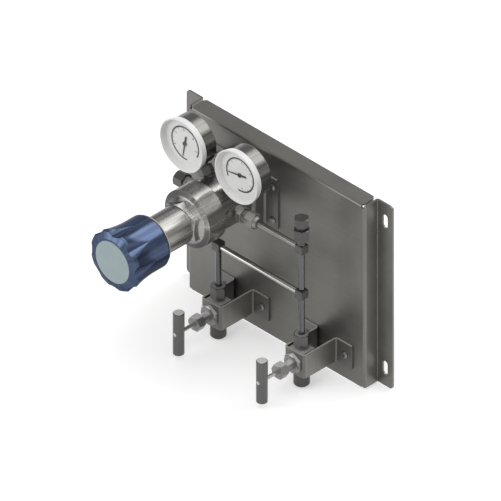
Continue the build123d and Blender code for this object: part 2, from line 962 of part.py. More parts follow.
def make_gauge_socket(index):
    """Threaded stem with a hexagon, ending in the block that holds the tube and the arbor."""
    block_start = gauge_distance - gauge_case_radius + gauge_case_wall + gauge_inner_gap
    stem = rod(gauge_thread_radius, gauge_thread_end, gauge_socket_foot)
    stem += chamfered_hexagon(gauge_socket_flats, gauge_socket_foot, gauge_socket_top, turn=30)
    stem += rod(gauge_socket_neck_radius, gauge_socket_top, block_start)
    block_length = gauge_socket_block_end - block_start
    stem += Pos(0, 0, block_start + block_length / 2) * Box(
        gauge_socket_block, gauge_socket_block, block_length
    )
    post_length = gauge_distance - gauge_socket_block_end + gauge_post_top
    stem += Pos(gauge_post_offset, 0, gauge_socket_block_end + post_length / 2) * Box(
        gauge_post_depth, gauge_post_width, post_length
    )
    stem -= rod(gauge_bore_radius, gauge_thread_end - overcut, gauge_bore_end)
    arbor_bore = rod(gauge_arbor_radius + tube_fit_gap, -gauge_case_radius, gauge_case_radius)
    stem -= Pos(0, 0, gauge_distance) * Rot(0, 90, 0) * arbor_bore
    along = Rot(0, 0, gauge_angle(index)) * Pos(0, 0, port_reach) * Rot(0, 90, 0)
    socket = at_face(regulator_x, regulator_z) * along * stem
    return socket - bourdon_arc(index, bourdon_fit_gap, bourdon_entry_angle)


def make_bourdon_tube(index):
    """Flattened tube bent round the gauge's centre from its socket block."""
    return bourdon_arc(index, 0.0, bourdon_sweep)


def bourdon_arc(index, gap, sweep_angle):
    start_angle = gauge_angle(index) + 180 + bourdon_entry_angle
    path = CenterArc((0, 0, 0), bourdon_radius, start_angle, sweep_angle)
    section = Plane(origin=path @ 0, z_dir=path % 0, x_dir=(0, 0, 1))
    outline = RectangleRounded(
        bourdon_width + 2 * gap, bourdon_thickness + 2 * gap, bourdon_corner
    )
    x, z = gauge_centre(index)
    centre_reach = port_reach - bourdon_offset
    return at_face(x, z) * Pos(0, 0, centre_reach) * sweep(section * outline, path)


# Fittings on the regulator's two side ports
def make_connector():
    """Port connector: thread in the body, collar, hexagon and the tube thread, along Z."""
    start = body_radius - port_thread_depth + overcut
    seat = body_radius - port_face_cut
    fitting = rod(port_thread_radius, start, seat)
    fitting += rod(fitting_collar_radius, seat, fitting_hex_start)
    fitting += chamfered_hexagon(fitting_hex_flats, fitting_hex_start, fitting_hex_end, turn=0)
    fitting += rod(thread_neck_radius, fitting_hex_end, fitting_thread_end)
    socket_start = fitting_thread_end - tube_insert_depth
    fitting -= rod(tube_bore_radius, start - overcut, fitting_thread_end)
    fitting -= rod(tube_radius + tube_fit_gap, socket_start, fitting_thread_end + overcut)
    return fitting


def tube_nut(start, end, collar_end, thread_end):
    """Hexagonal nut over a tube thread, with a ferrule pocket in front of it."""
    blank = chamfered_hexagon(tube_nut_flats, start, end, turn=0)
    if collar_end > end:
        blank += turned(
            (0, end - nut_collar_step),
            (nut_collar_radius, end - nut_collar_step),
            (nut_collar_radius, end),
            (nut_collar_front_radius, collar_end),
            (0, collar_end),
        )
    blank -= rod(thread_neck_radius + thread_gap, start - overcut, thread_end + ferrule_pocket)
    blank -= rod(tube_radius + tube_fit_gap, start, collar_end + overcut)
    return blank


def make_outlet_nut():
    thread_end = fitting_thread_end - outlet_nut_thread_gap
    nut = tube_nut(outlet_nut_start, outlet_nut_hex_end, outlet_nut_end, thread_end)
    return to_right(regulator_x, port_reach, regulator_z) * nut


def make_tube_nuts():
    """Inlet nut and the nut on top of each valve."""
    inlet = tube_nut(inlet_nut_start, inlet_nut_end, inlet_nut_end, fitting_thread_end)
    nuts = [to_left(regulator_x, port_reach, regulator_z) * inlet]
    start = valve_block_height / 2 + valve_neck_length
    thread_end = start + valve_thread_length
    nut = tube_nut(start, start + valve_nut_length, start + valve_nut_length, thread_end)
    for x in valve_x:
        nuts.append(upright(x, port_reach, valve_z) * nut)
    return group(*nuts)


# Tube run: straight tubes between solid blocks
def straight_tube(start, end):
    return tube(tube_radius, tube_bore_radius, start, end)


def make_outlet_tube():
    start = fitting_thread_end - tube_insert_depth
    end = riser_x - regulator_x - block_half + socket_depth
    return to_right(regulator_x, port_reach, regulator_z) * straight_tube(start, end)


def make_riser_tube():
    start = riser_lower_z + block_half - socket_depth
    end = upper_run_z - block_half + socket_depth
    return upright(riser_x, port_reach, 0) * straight_tube(start, end)


def make_cross_tube():
    start = valve_x[0] + block_half - socket_depth
    end = riser_x - block_half + socket_depth
    return to_right(0, port_reach, riser_lower_z) * straight_tube(start, end)


def make_drop_tubes():
    start = valve_top_z + valve_tube_stop
    end = riser_lower_z - block_half + socket_depth
    return group(*[upright(x, port_reach, 0) * straight_tube(start, end) for x in valve_x])


def make_block(directions):
    """Cube with a tube socket on each given side and a passage joining them."""
    block = Box(block_size, block_size, block_size)
    block = chamfer(block.edges(), block_edge)
    for turn in directions:
        block -= turn * rod(
            tube_radius + tube_fit_gap, block_half - socket_depth, block_half + overcut
        )
        block -= turn * rod(tube_bore_radius * passage_share, 0, block_half)
    return block


UP = Rot(0, 0, 0)
DOWN = Rot(180, 0, 0)
RIGHT = Rot(0, 90, 0)
LEFT = Rot(0, -90, 0)


def make_upper_tee():
    return upright(riser_x, port_reach, upper_run_z) * make_block([UP, DOWN, LEFT])


def make_lower_tee():
    return upright(riser_x, port_reach, riser_lower_z) * make_block([UP, DOWN, LEFT])


def make_elbow():
    return upright(valve_x[0], port_reach, riser_lower_z) * make_block([DOWN, RIGHT])


# Capped port on top of the upper tee
def make_port_connector():
    foot = block_half - socket_depth
    hex_start = block_half + port_neck_length
    hex_end = hex_start + port_hex_length
    fitting = rod(tube_radius, foot, block_half)
    fitting += rod(port_neck_radius, block_half, hex_start)
    fitting += chamfered_hexagon(fitting_hex_flats, hex_start, hex_end, turn=port_turn)
    thread_end = hex_end + port_thread_length + port_thread_cover
    fitting += rod(thread_neck_radius - port_thread_radius_step, hex_end, thread_end)
    fitting -= rod(tube_bore_radius * passage_share, foot - overcut, thread_end + overcut)
    return upright(riser_x, port_reach, upper_run_z) * fitting


def make_port_cap():
    start = block_half + port_neck_length + port_hex_length + port_thread_length
    cap = chamfered_hexagon(port_cap_flats, start, start + port_cap_length, turn=port_turn)
    hole_radius = thread_neck_radius - port_thread_radius_step + thread_gap
    cap -= rod(hole_radius, start - overcut, start + port_thread_cover + port_cap_clearance)
    return upright(riser_x, port_reach, upper_run_z) * cap


# Needle valves: block, bonnet, nuts, stem and T-bar
def make_valve_body(x):
    centre_reach = (valve_back_reach + valve_front_reach) / 2
    block = Pos(0, 0, centre_reach) * Box(valve_block_width, valve_block_height, valve_block_depth)
    block = chamfer(block.edges().filter_by(Axis.Y), valve_block_edge)
    block -= rod(
        valve_bonnet_radius + thread_gap, valve_bonnet_back, valve_front_reach + overcut
    )
    block -= rod(valve_chamber_radius, valve_seat_reach, valve_bonnet_back)
    block -= rod(valve_orifice_radius, valve_back_reach + valve_back_wall, valve_seat_reach)
    top = valve_block_height / 2
    thread_top = top + valve_neck_length + valve_thread_length
    column = rod(valve_neck_radius, top, top + valve_neck_length)
    column += rod(thread_neck_radius, top + valve_neck_length, thread_top)
    column -= rod(tube_radius + tube_fit_gap, top + valve_tube_stop, thread_top + overcut)
    block_place = at_face(x, valve_z)
    column_place = upright(x, port_reach, valve_z)
    body = block_place * block + column_place * column
    body -= column_place * rod(
        tube_bore_radius * passage_share,
        valve_passage_low,
        top + valve_tube_stop + valve_tube_stop_wall,
    )
    body -= column_place * rod(nipple_thread_radius, -top - overcut, -top + nipple_thread_length)
    outlet_y = panel_face_y - valve_back_reach - valve_outlet_setback
    body -= Pos(x, outlet_y, valve_z) * rod(
        valve_orifice_radius, -top + nipple_thread_length - overcut, 0
    )
    return body


def make_valve_bonnets():
    bonnet = turned(
        (stem_thread_radius + running_gap, valve_bonnet_back),
        (valve_bonnet_radius, valve_bonnet_back),
        (valve_bonnet_radius, valve_bracket_reach + panel_nut_thickness),
        (valve_bonnet_neck_radius, valve_bracket_reach + panel_nut_thickness),
        (valve_bonnet_neck_radius, valve_bonnet_neck_end),
        (stem_radius + running_gap, valve_bonnet_neck_end),
        (stem_radius + running_gap, stem_bore_front),
        (stem_thread_radius + running_gap, stem_bore_front),
    )
    return group(*[at_face(x, valve_z) * bonnet for x in valve_x])


def make_panel_nuts():
    start = valve_bracket_reach
    end = start + panel_nut_thickness
    nut = chamfered_hexagon(panel_nut_flats, start, end, turn=30, lower=False)
    nut -= rod(valve_bonnet_radius + line_fit_gap, start - overcut, end + overcut)
    return group(*[at_face(x, valve_z) * nut for x in valve_x])


def make_packing_nuts():
    nut = chamfered_hexagon(packing_nut_flats, packing_nut_back, packing_nut_front, lower=False)
    nut -= rod(
        valve_bonnet_neck_radius + line_fit_gap, packing_nut_back - overcut, valve_bonnet_neck_end
    )
    nut -= rod(stem_radius + running_gap, packing_nut_back, packing_nut_front + overcut)
    return group(*[at_face(x, valve_z) * nut for x in valve_x])


def make_valve_stem(x):
    front = bar_reach + bar_radius + stem_end_overrun
    stem = turned(
        (0, stem_thread_back),
        (stem_thread_radius, stem_thread_back),
        (stem_thread_radius, stem_thread_front),
        (stem_radius, stem_thread_front),
        (stem_radius, front - stem_end_edge_length),
        (stem_radius - stem_end_edge, front),
        (0, front),
    )
    return at_face(x, valve_z) * stem


def make_stem_tip(x):
    front = stem_thread_back - body_gap
    tip = turned(
        (0, valve_seat_reach + stem_tip_seat_gap),
        (stem_tip_point, valve_seat_reach + stem_tip_seat_gap + stem_tip_point_edge),
        (stem_thread_radius, stem_tip_back),
        (stem_thread_radius, front),
        (0, front),
    )
    return at_face(x, valve_z) * tip


def make_handle_bar(x):
    bar = rod(bar_radius, -bar_length / 2, bar_length / 2)
    bar = chamfer(bar.edges().filter_by(GeomType.CIRCLE), bar_edge)
    bar = upright(x, bar_reach, valve_z + bar_z_offset) * bar
    bar -= at_face(x, valve_z) * rod(
        stem_radius + line_fit_gap,
        bar_reach - bar_radius - overcut,
        bar_reach + bar_radius + overcut,
    )
    return bar


def make_outlet_nipples():
    top = -valve_block_height / 2
    end = top - nipple_length
    thread_top = top + nipple_thread_length - nipple_end_gap
    nipple = turned(
        (nipple_bore_radius, end),
        (nipple_radius - nipple_chamfer, end),
        (nipple_radius, end + nipple_chamfer),
        (nipple_radius, top - nipple_neck_length),
        (nipple_neck_radius, top - nipple_neck_length),
        (nipple_neck_radius, top),
        (nipple_thread_radius - line_fit_gap, top),
        (nipple_thread_radius - line_fit_gap, thread_top),
        (nipple_bore_radius, thread_top),
    )
    return group(*[upright(x, port_reach, valve_z) * nipple for x in valve_x])


def make_all():
    pieces = {
        "back_panel": make_back_panel(),
        "regulator_bracket": make_regulator_bracket(),
        "bracket_screws": make_bracket_screws(),
        "bracket_nuts": make_bracket_nuts(),
        "regulator_mount_screws": make_mount_screws(),
        "regulator_body": make_regulator_body(),
        "bonnet_ring": make_bonnet_ring(),
        "bonnet": make_bonnet(),
        "pressure_knob": make_pressure_knob(),
        "knob_cap": make_knob_cap(),
        "knob_wiper_ring": make_wiper_ring(),
        "adjusting_screw": make_adjusting_screw(),
        "spring_button": make_spring_button(),
        "range_spring": make_range_spring(),
        "diaphragm": make_diaphragm(),
        "diaphragm_plate": make_diaphragm_plate(),
        "valve_seat": make_valve_seat(),
        "poppet": make_poppet(),
        "poppet_spring": make_poppet_spring(),
        "inlet_connector": to_left(regulator_x, port_reach, regulator_z) * make_connector(),
        "outlet_connector": to_right(regulator_x, port_reach, regulator_z) * make_connector(),
        "outlet_nut": make_outlet_nut(),
        "tube_nuts": make_tube_nuts(),
        "outlet_tube": make_outlet_tube(),
        "upper_tee": make_upper_tee(),
        "port_connector": make_port_connector(),
        "port_cap": make_port_cap(),
        "riser_tube": make_riser_tube(),
        "lower_tee": make_lower_tee(),
        "cross_tube": make_cross_tube(),
        "elbow": make_elbow(),
        "drop_tubes": make_drop_tubes(),
        "valve_bonnets": make_valve_bonnets(),
        "valve_panel_nuts": make_panel_nuts(),
        "packing_nuts": make_packing_nuts(),
        "outlet_nipples": make_outlet_nipples(),
    }
    for index, name in enumerate(gauge_names):
        pieces[name + "_gauge_case"] = make_gauge_case(index)
        pieces[name + "_gauge_bezel"] = make_gauge_bezel(index)
        pieces[name + "_gauge_window"] = make_gauge_window(index)
        pieces[name + "_gauge_dial"] = make_gauge_dial(index)
        pieces[name + "_gauge_pointer"] = make_gauge_pointer(index)
        pieces[name + "_gauge_socket"] = make_gauge_socket(index)
        pieces[name + "_bourdon_tube"] = make_bourdon_tube(index)
    for name, x in zip(valve_names, valve_x):
        pieces[name + "_valve_bracket"] = make_valve_bracket(x)
        pieces[name + "_valve_body"] = make_valve_body(x)
        pieces[name + "_valve_stem"] = make_valve_stem(x)
        pieces[name + "_stem_tip"] = make_stem_tip(x)
        pieces[name + "_handle_bar"] = make_handle_bar(x)
    return pieces


os.makedirs("parts", exist_ok=True)
for name, shape in make_all().items():
    export_step(shape, os.path.join("parts", name + ".step"))
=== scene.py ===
import json
import math

import bmesh
import bpy
from mathutils import Matrix, Vector
from mathutils.bvhtree import BVHTree
from mathutils.geometry import barycentric_transform

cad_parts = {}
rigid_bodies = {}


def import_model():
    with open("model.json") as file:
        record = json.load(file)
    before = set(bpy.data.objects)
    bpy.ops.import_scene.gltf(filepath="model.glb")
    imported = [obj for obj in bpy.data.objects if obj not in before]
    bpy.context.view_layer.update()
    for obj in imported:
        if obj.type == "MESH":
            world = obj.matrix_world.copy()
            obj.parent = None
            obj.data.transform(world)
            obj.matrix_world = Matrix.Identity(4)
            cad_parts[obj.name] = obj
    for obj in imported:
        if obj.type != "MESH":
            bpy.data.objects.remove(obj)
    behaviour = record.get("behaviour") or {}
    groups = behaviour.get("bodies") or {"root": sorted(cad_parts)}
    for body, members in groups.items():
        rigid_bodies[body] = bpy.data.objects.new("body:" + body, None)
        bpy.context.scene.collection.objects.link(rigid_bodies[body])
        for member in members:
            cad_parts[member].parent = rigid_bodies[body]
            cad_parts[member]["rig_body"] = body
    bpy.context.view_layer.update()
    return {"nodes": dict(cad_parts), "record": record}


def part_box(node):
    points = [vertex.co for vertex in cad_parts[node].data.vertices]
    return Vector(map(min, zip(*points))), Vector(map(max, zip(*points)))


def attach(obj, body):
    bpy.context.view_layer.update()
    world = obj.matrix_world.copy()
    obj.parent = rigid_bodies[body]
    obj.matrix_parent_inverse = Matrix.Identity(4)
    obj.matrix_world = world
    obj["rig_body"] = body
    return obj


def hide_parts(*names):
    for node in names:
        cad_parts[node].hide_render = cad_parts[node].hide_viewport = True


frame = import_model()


# Camera: the panel is seen in true isometric view from its right and from above,
# with parallel lines of sight.
picture_width = 0.4726
camera_distance = 2
right = Vector((1, 1, 0)).normalized()
up = Vector((-1, 1, 2)).normalized()
towards = Vector((1, -1, 1)).normalized()
picture_centre = right * -0.03827 + up * -0.01119
camera = bpy.data.objects.new("camera", bpy.data.cameras.new("camera"))
bpy.context.scene.collection.objects.link(camera)
camera.data.type = "ORTHO"
camera.data.ortho_scale = picture_width
camera.data.clip_end = 20
view_turn = Matrix((right, up, towards)).transposed().to_4x4()
camera.matrix_world = Matrix.Translation(picture_centre + towards * camera_distance) @ view_turn
bpy.context.scene.camera = camera
bpy.context.scene.view_settings.view_transform = "Standard"


# Studio: a white floor just under the outlet nipples that throws less light back far
# away, softboxes above and behind, overhead and in front at the left, and a soft grey room.
floor_height = -0.1068
floor_size = 12.0
lit_radius = 0.62
dim_radius = 1.5
paper_white = 0.74
paper_dim = 0.10
dim_share = 0.45
white_glow = 0.46
far_lift = 1.9
room_bands = ((0.0, 1.0), (0.14, 0.85), (0.34, 0.50), (0.66, 0.50), (1.0, 0.80))
softbox_distance = 1.7
softboxes = {  # direction, width, height and radiance
    "softbox_above": ((0.16, 0.62, 0.82), 1.55, 0.75, 3.5),
    "softbox_overhead": ((0.08, -0.50, 0.95), 1.2, 0.9, 2.0),
    "softbox_front": ((-0.66, -0.95, 0.20), 1.1, 0.75, 3.0),
}


def make_floor():
    """White paper that glows only for the camera, mirrors and glass, so it looks white."""
    mesh = bpy.data.meshes.new("floor")
    corners = [(-1, -1), (1, -1), (1, 1), (-1, 1)]
    points = [(x * floor_size, y * floor_size, floor_height) for x, y in corners]
    mesh.from_pydata(points, [], [(0, 1, 2, 3)])
    floor = bpy.data.objects.new("floor", mesh)
    bpy.context.scene.collection.objects.link(floor)
    material = bpy.data.materials.new("floor_paper")
    material.use_nodes = True
    nodes, links = material.node_tree.nodes, material.node_tree.links
    nodes.clear()
    place = nodes.new("ShaderNodeTexCoord")
    distance = nodes.new("ShaderNodeVectorMath")
    distance.operation = "LENGTH"
    links.new(place.outputs["Object"], distance.inputs[0])

    def by_distance(near, far):
        """A level that goes from near to far between the lit and the dim radius."""
        level = nodes.new("ShaderNodeMapRange")
        level.interpolation_type = "SMOOTHSTEP"
        level.inputs["From Min"].default_value = lit_radius
        level.inputs["From Max"].default_value = dim_radius
        level.inputs["To Min"].default_value = near
        level.inputs["To Max"].default_value = far
        links.new(distance.outputs["Value"], level.inputs["Value"])
        return level.outputs["Result"]

    def combined(operation, first, second):
        """Two levels brought together by a sum."""
        node = nodes.new("ShaderNodeMath")
        node.operation = operation
        links.new(first, node.inputs[0])
        links.new(second, node.inputs[1])
        return node.outputs[0]

    shade = nodes.new("ShaderNodeMix")
    shade.data_type = "RGBA"
    shade.inputs["A"].default_value = (paper_dim, paper_dim, paper_dim, 1)
    shade.inputs["B"].default_value = (paper_white, paper_white, paper_white, 1)
    links.new(by_distance(1.0, dim_share), shade.inputs["Factor"])
    paper = nodes.new("ShaderNodeBsdfDiffuse")
    links.new(shade.outputs["Result"], paper.inputs["Color"])
    rays = nodes.new("ShaderNodeLightPath").outputs
    seen = combined("MAXIMUM", rays["Is Camera Ray"], rays["Is Glossy Ray"])
    seen = combined("MAXIMUM", seen, rays["Is Transmission Ray"])
    glow = nodes.new("ShaderNodeEmission")
    glow.inputs["Color"].default_value = (white_glow, white_glow, white_glow, 1)
    links.new(combined("MULTIPLY", seen, by_distance(1.0, far_lift)), glow.inputs["Strength"])
    both = nodes.new("ShaderNodeAddShader")
    links.new(paper.outputs[0], both.inputs[0])
    links.new(glow.outputs[0], both.inputs[1])
    output = nodes.new("ShaderNodeOutputMaterial")
    links.new(both.outputs[0], output.inputs["Surface"])
    mesh.materials.append(material)


def set_stops(ramp, stops):
    """Give a colour ramp its grey stops, from the lowest place to the highest."""
    points = ramp.color_ramp.elements
    points.remove(points[1])
    for index, (place, level) in enumerate(stops):
        point = points[0] if index == 0 else points.new(place)
        point.position = place
        point.color = (level, level, level, 1)


def make_room():
    """World light in bands from floor to ceiling."""
    world = bpy.data.worlds.new("room")
    bpy.context.scene.world = world
    world.use_nodes = True
    nodes, links = world.node_tree.nodes, world.node_tree.links
    place = nodes.new("ShaderNodeTexCoord")
    split = nodes.new("ShaderNodeSeparateXYZ")
    links.new(place.outputs["Generated"], split.inputs[0])
    height = nodes.new("ShaderNodeValToRGB")
    links.new(split.outputs["Z"], height.inputs["Fac"])
    set_stops(height, room_bands)
    links.new(height.outputs["Color"], nodes["Background"].inputs["Color"])


def make_softbox(name, direction, width, height, radiance):
    """A rectangular lamp turned to the middle of the panel."""
    lamp = bpy.data.lights.new(name, "AREA")
    lamp.shape = "RECTANGLE"
    lamp.size = width
    lamp.size_y = height
    lamp.energy = radiance * width * height * math.pi
    box = bpy.data.objects.new(name, lamp)
    box.location = Vector(direction).normalized() * softbox_distance
    box.rotation_mode = "QUATERNION"
    box.rotation_quaternion = (-box.location).to_track_quat("-Z", "Y")
    bpy.context.scene.collection.objects.link(box)


make_floor()
make_room()
for name, softbox in softboxes.items():
    make_softbox(name, *softbox)


# Folded sheet: the back panel with its flanges and top return, the regulator's bracket and
# the two valve brackets. Rolled stainless sheet, laser cut, its cut edges slightly eased.
weld_distance = 2e-6
flat_turn = math.radians(0.1)
surface_reach = 0.00003
nearness_weight = 1000
same_side = 0.8
shortest_sum = 0.1


def finished(node, name, material, edge_width, edge_angle=32):
    """A node's own shape with eased edges and the exact surface directions of the solid."""
    source = frame["nodes"][node]
    mesh = bpy.data.meshes.new(name)
    form = bmesh.new()
    form.from_mesh(source.data)
    bmesh.ops.remove_doubles(form, verts=form.verts, dist=weld_distance)
    bmesh.ops.dissolve_degenerate(form, edges=form.edges, dist=weld_distance / 2)
    bmesh.ops.dissolve_limit(
        form,
        angle_limit=flat_turn,
        verts=form.verts,
        edges=form.edges,
        use_dissolve_boundaries=False,
    )
    form.to_mesh(mesh)
    form.free()
    piece = bpy.data.objects.new(name, mesh)
    bpy.context.scene.collection.objects.link(piece)
    mesh.materials.append(material)
    mesh.materials.append(material)  # a second slot, to mark the eased edges
    if edge_width > 0:
        bevel = piece.modifiers.new("eased_edges", "BEVEL")
        bevel.width = edge_width
        bevel.segments = 2
        bevel.limit_method = "ANGLE"
        bevel.angle_limit = math.radians(edge_angle)
        bevel.miter_outer = "MITER_ARC"
        bevel.material = 1
        piece.data = plain_mesh(piece)
        piece.modifiers.clear()
        bpy.data.meshes.remove(mesh)
        piece.data.name = name
    follow_surface(piece.data, source.data)
    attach(piece, source["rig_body"])
    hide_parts(node)
    slot_of(node)
    return piece


def plain_mesh(piece):
    """What an object's modifiers or its lettering make, as a mesh of its own."""
    depsgraph = bpy.context.evaluated_depsgraph_get()
    return bpy.data.meshes.new_from_object(piece.evaluated_get(depsgraph), depsgraph=depsgraph)


def follow_surface(mesh, exact):
    """Give plain faces the solid's own surface directions and let eased edges blend them."""
    exact.calc_loop_triangles()
    points = [vertex.co for vertex in exact.vertices]
    corners = exact.corner_normals
    triangles = [(tuple(t.vertices), tuple(t.loops)) for t in exact.loop_triangles]
    tree = BVHTree.FromPolygons(points, [vertices for vertices, _ in triangles])
    directions = [None] * len(mesh.loops)
    at_point = {}
    for face in mesh.polygons:
        if face.material_index == 1:
            continue
        for loop in face.loop_indices:
            point = mesh.vertices[mesh.loops[loop].vertex_index].co
            near = tree.find_nearest_range(point, surface_reach) or [tree.find_nearest(point)]
            best = max(near, key=lambda hit: hit[1].dot(face.normal) - hit[3] * nearness_weight)
            vertices, loops = triangles[best[2]]
            shares = barycentric_transform(
                best[0], *[points[i] for i in vertices], *[corners[i].vector for i in loops]
            )
            direction = shares.normalized() if shares.length > shortest_sum else face.normal
            agrees = direction.dot(face.normal) > same_side
            directions[loop] = direction if agrees else face.normal
            at_point.setdefault(mesh.loops[loop].vertex_index, []).append(directions[loop])
    sides = {}
    for edge in mesh.edges:
        for here, there in (edge.vertices, reversed(edge.vertices)):
            if there in at_point:
                sides.setdefault(here, []).extend(at_point[there])
    for face in mesh.polygons:
        if face.material_index == 1:
            for loop in face.loop_indices:
                point = mesh.loops[loop].vertex_index
                known = at_point.get(point) or sides.get(point) or [face.normal]
                total = sum(known, Vector())
                settled = total.length > shortest_sum
                directions[loop] = total.normalized() if settled else face.normal
    mesh.polygons.foreach_set("material_index", [0] * len(mesh.polygons))
    mesh.materials.pop(index=1)
    mesh.shade_smooth()
    mesh.normals_split_custom_set(directions)


def slot_of(node):
    """Material slot that the record gives a node."""
    parts = frame["record"]["subparts"]
    return next(part["material_slot"] for part in parts if part["node"] == node)


def noise(nodes, links, vector, scale, detail=3.0, roughness=0.55):
    """Smooth noise from 0 to 1."""
    texture = nodes.new("ShaderNodeTexNoise")
    texture.inputs["Scale"].default_value = scale
    texture.inputs["Detail"].default_value = detail
    texture.inputs["Roughness"].default_value = roughness
    links.new(vector, texture.inputs["Vector"])
    return texture.outputs["Fac"]


def spread(nodes, links, value, low, high, from_low=0.3, from_high=0.7):
    """Stretch a pattern's middle range to a low and a high value."""
    ramp = nodes.new("ShaderNodeMapRange")
    ramp.inputs["From Min"].default_value = from_low
    ramp.inputs["From Max"].default_value = from_high
    ramp.inputs["To Min"].default_value = low
    ramp.inputs["To Max"].default_value = high
    links.new(value, ramp.inputs["Value"])
    return ramp.outputs["Result"]


def stretched(nodes, links, scale=(1, 1, 1)):
    """Object coordinates, stretched where a scale sets the grain's direction."""
    place = nodes.new("ShaderNodeTexCoord")
    mapping = nodes.new("ShaderNodeMapping")
    mapping.inputs["Scale"].default_value = scale
    links.new(place.outputs["Object"], mapping.inputs["Vector"])
    return mapping.outputs["Vector"]


def product(nodes, links, first, *others):
    """Levels multiplied together; a plain number goes into its own socket."""
    for other in others:
        node = nodes.new("ShaderNodeMath")
        node.operation = "MULTIPLY"
        links.new(first, node.inputs[0])
        if isinstance(other, float):
            node.inputs[1].default_value = other
        else:
            links.new(other, node.inputs[1])
        first = node.outputs[0]
    return first


def tinted(nodes, links, colour, value):
    """A colour made lighter or darker by a pattern about 1."""
    scale = nodes.new("ShaderNodeVectorMath")
    scale.operation = "SCALE"
    scale.inputs[0].default_value = colour
    links.new(value, scale.inputs["Scale"])
    return scale.outputs["Vector"]


def new_surface(name, metallic):
    """A material of its own with its nodes, links and shader."""
    material = bpy.data.materials.new(name)
    material.use_nodes = True
    nodes, links = material.node_tree.nodes, material.node_tree.links
    shader = nodes["Principled BSDF"]
    shader.inputs["Metallic"].default_value = metallic
    return material, nodes, links, shader


def bumped(nodes, links, shader, height, distance, strength):
    """Fine relief from a pattern."""
    bump = nodes.new("ShaderNodeBump")
    bump.inputs["Distance"].default_value = distance
    bump.inputs["Strength"].default_value = strength
    links.new(height, bump.inputs["Height"])
    links.new(bump.outputs["Normal"], shader.inputs["Normal"])


# How squarely a face must look along an axis to take the painted highlight of faces looking up or
# down, or the painted light of side faces.
facing_band = (0.90, 0.98)


def face_share(nodes, links, axis, low, high, band=facing_band):
    """Low on most faces, high where a face looks along an object axis, either way."""
    place = nodes.new("ShaderNodeTexCoord")
    split = nodes.new("ShaderNodeSeparateXYZ")
    links.new(place.outputs["Normal"], split.inputs[0])
    level = nodes.new("ShaderNodeMath")
    level.operation = "ABSOLUTE"
    links.new(split.outputs[axis], level.inputs[0])
    return spread(nodes, links, level.outputs[0], low, high, *band)


def faced(nodes, links, shader, colour, band=facing_band):
    """Painted highlight: a lighter colour, and a duller metal, where a face looks up or down."""
    share = face_share(nodes, links, "Z", 0.0, 1.0, band)
    under = shader.inputs["Base Color"].links[0].from_socket
    tone = nodes.new("ShaderNodeMix")
    tone.data_type = "RGBA"
    tone.inputs["B"].default_value = (*colour, 1)
    links.new(share, tone.inputs["Factor"])
    links.new(under, tone.inputs["A"])
    links.new(tone.outputs["Result"], shader.inputs["Base Color"])
    metallic = shader.inputs["Metallic"]
    duller = 0.2
    links.new(spread(nodes, links, share, metallic.default_value, duller, 0.0, 1.0), metallic)


def rolled_sheet(name, colour, grain, painted_edge_highlight=None, painted_side_light=1.0):
    """Satin rolled sheet: cloudy sheen and fine grain along the rolling direction, faces that look
    along X painted lighter as painted light, and a painted highlight on faces that look up or down.
    """
    material, nodes, links, shader = new_surface(name, metallic=0.8)
    lines = noise(nodes, links, stretched(nodes, links, grain), scale=900, detail=2.0)
    clouds = noise(nodes, links, stretched(nodes, links), scale=22)
    specks = noise(nodes, links, stretched(nodes, links), scale=520, detail=4.0, roughness=0.7)
    tone = product(
        nodes,
        links,
        spread(nodes, links, clouds, 0.93, 1.07),
        spread(nodes, links, lines, 0.95, 1.05),
        # painted light: faces that look along X are made lighter
        face_share(nodes, links, "X", 1.0, painted_side_light),
    )
    links.new(tinted(nodes, links, colour, tone), shader.inputs["Base Color"])
    rough = product(
        nodes,
        links,
        spread(nodes, links, specks, 0.35, 0.43),
        spread(nodes, links, clouds, 0.95, 1.08),
    )
    links.new(rough, shader.inputs["Roughness"])
    bumped(nodes, links, shader, lines, distance=0.00002, strength=0.35)
    # painted highlight on faces that look up or down
    if painted_edge_highlight:
        faced(nodes, links, shader, painted_edge_highlight)
    return material


# The side walls of the panel and brackets are painted lighter: painted light.
panel_sheet = rolled_sheet("panel_sheet", (0.172, 0.168, 0.157), (0.06, 1, 1), painted_side_light=1.35)
# The brackets' faces that look up or down take a lighter colour: a painted highlight.
bracket_sheet = rolled_sheet(
    "bracket_sheet",
    (0.155, 0.152, 0.143),
    (1, 1, 0.06),
    painted_edge_highlight=(0.50, 0.49, 0.46),
    painted_side_light=1.5,
)
sheet_edge = 0.00022
finished("back_panel", "folded_back_panel", panel_sheet, sheet_edge)
finished("regulator_bracket", "folded_regulator_bracket", bracket_sheet, sheet_edge)
for side in ("left", "right"):
    finished(side + "_valve_bracket", side + "_folded_valve_bracket", bracket_sheet, sheet_edge)


# Regulator: body, bonnet and clamp ring turned from stainless bar, with fine turning lines
# round the axis and faint streaks along it. Painted highlights and painted shade in their colour
# change round the axis and make up for the shade of the gauges above: one list of stops for
# sides, neck and front faces each.
def round_place(nodes, links, centre, axis):
    """Angle about an axis and height along it, for patterns on a turned piece."""
    place = nodes.new("ShaderNodeTexCoord")
    mapping = nodes.new("ShaderNodeMapping")
    mapping.inputs["Location"].default_value = [-value for value in centre]
    links.new(place.outputs["Object"], mapping.inputs["Vector"])
    split = nodes.new("ShaderNodeSeparateXYZ")
    links.new(mapping.outputs["Vector"], split.inputs[0])
    first, second, along = {"x": "YZX", "y": "XZY", "z": "XYZ"}[axis]
    angle = nodes.new("ShaderNodeMath")
    angle.operation = "ARCTAN2"
    links.new(split.outputs[second], angle.inputs[0])
    links.new(split.outputs[first], angle.inputs[1])
    return angle.outputs[0], split.outputs[along]


def joined(nodes, links, angle, along, angle_scale, along_scale):
    """Pattern place of angle and height, each at its own scale."""
    vector = nodes.new("ShaderNodeCombineXYZ")
    links.new(product(nodes, links, angle, angle_scale), vector.inputs["X"])
    links.new(product(nodes, links, along, along_scale), vector.inputs["Y"])
    return vector.outputs[0]


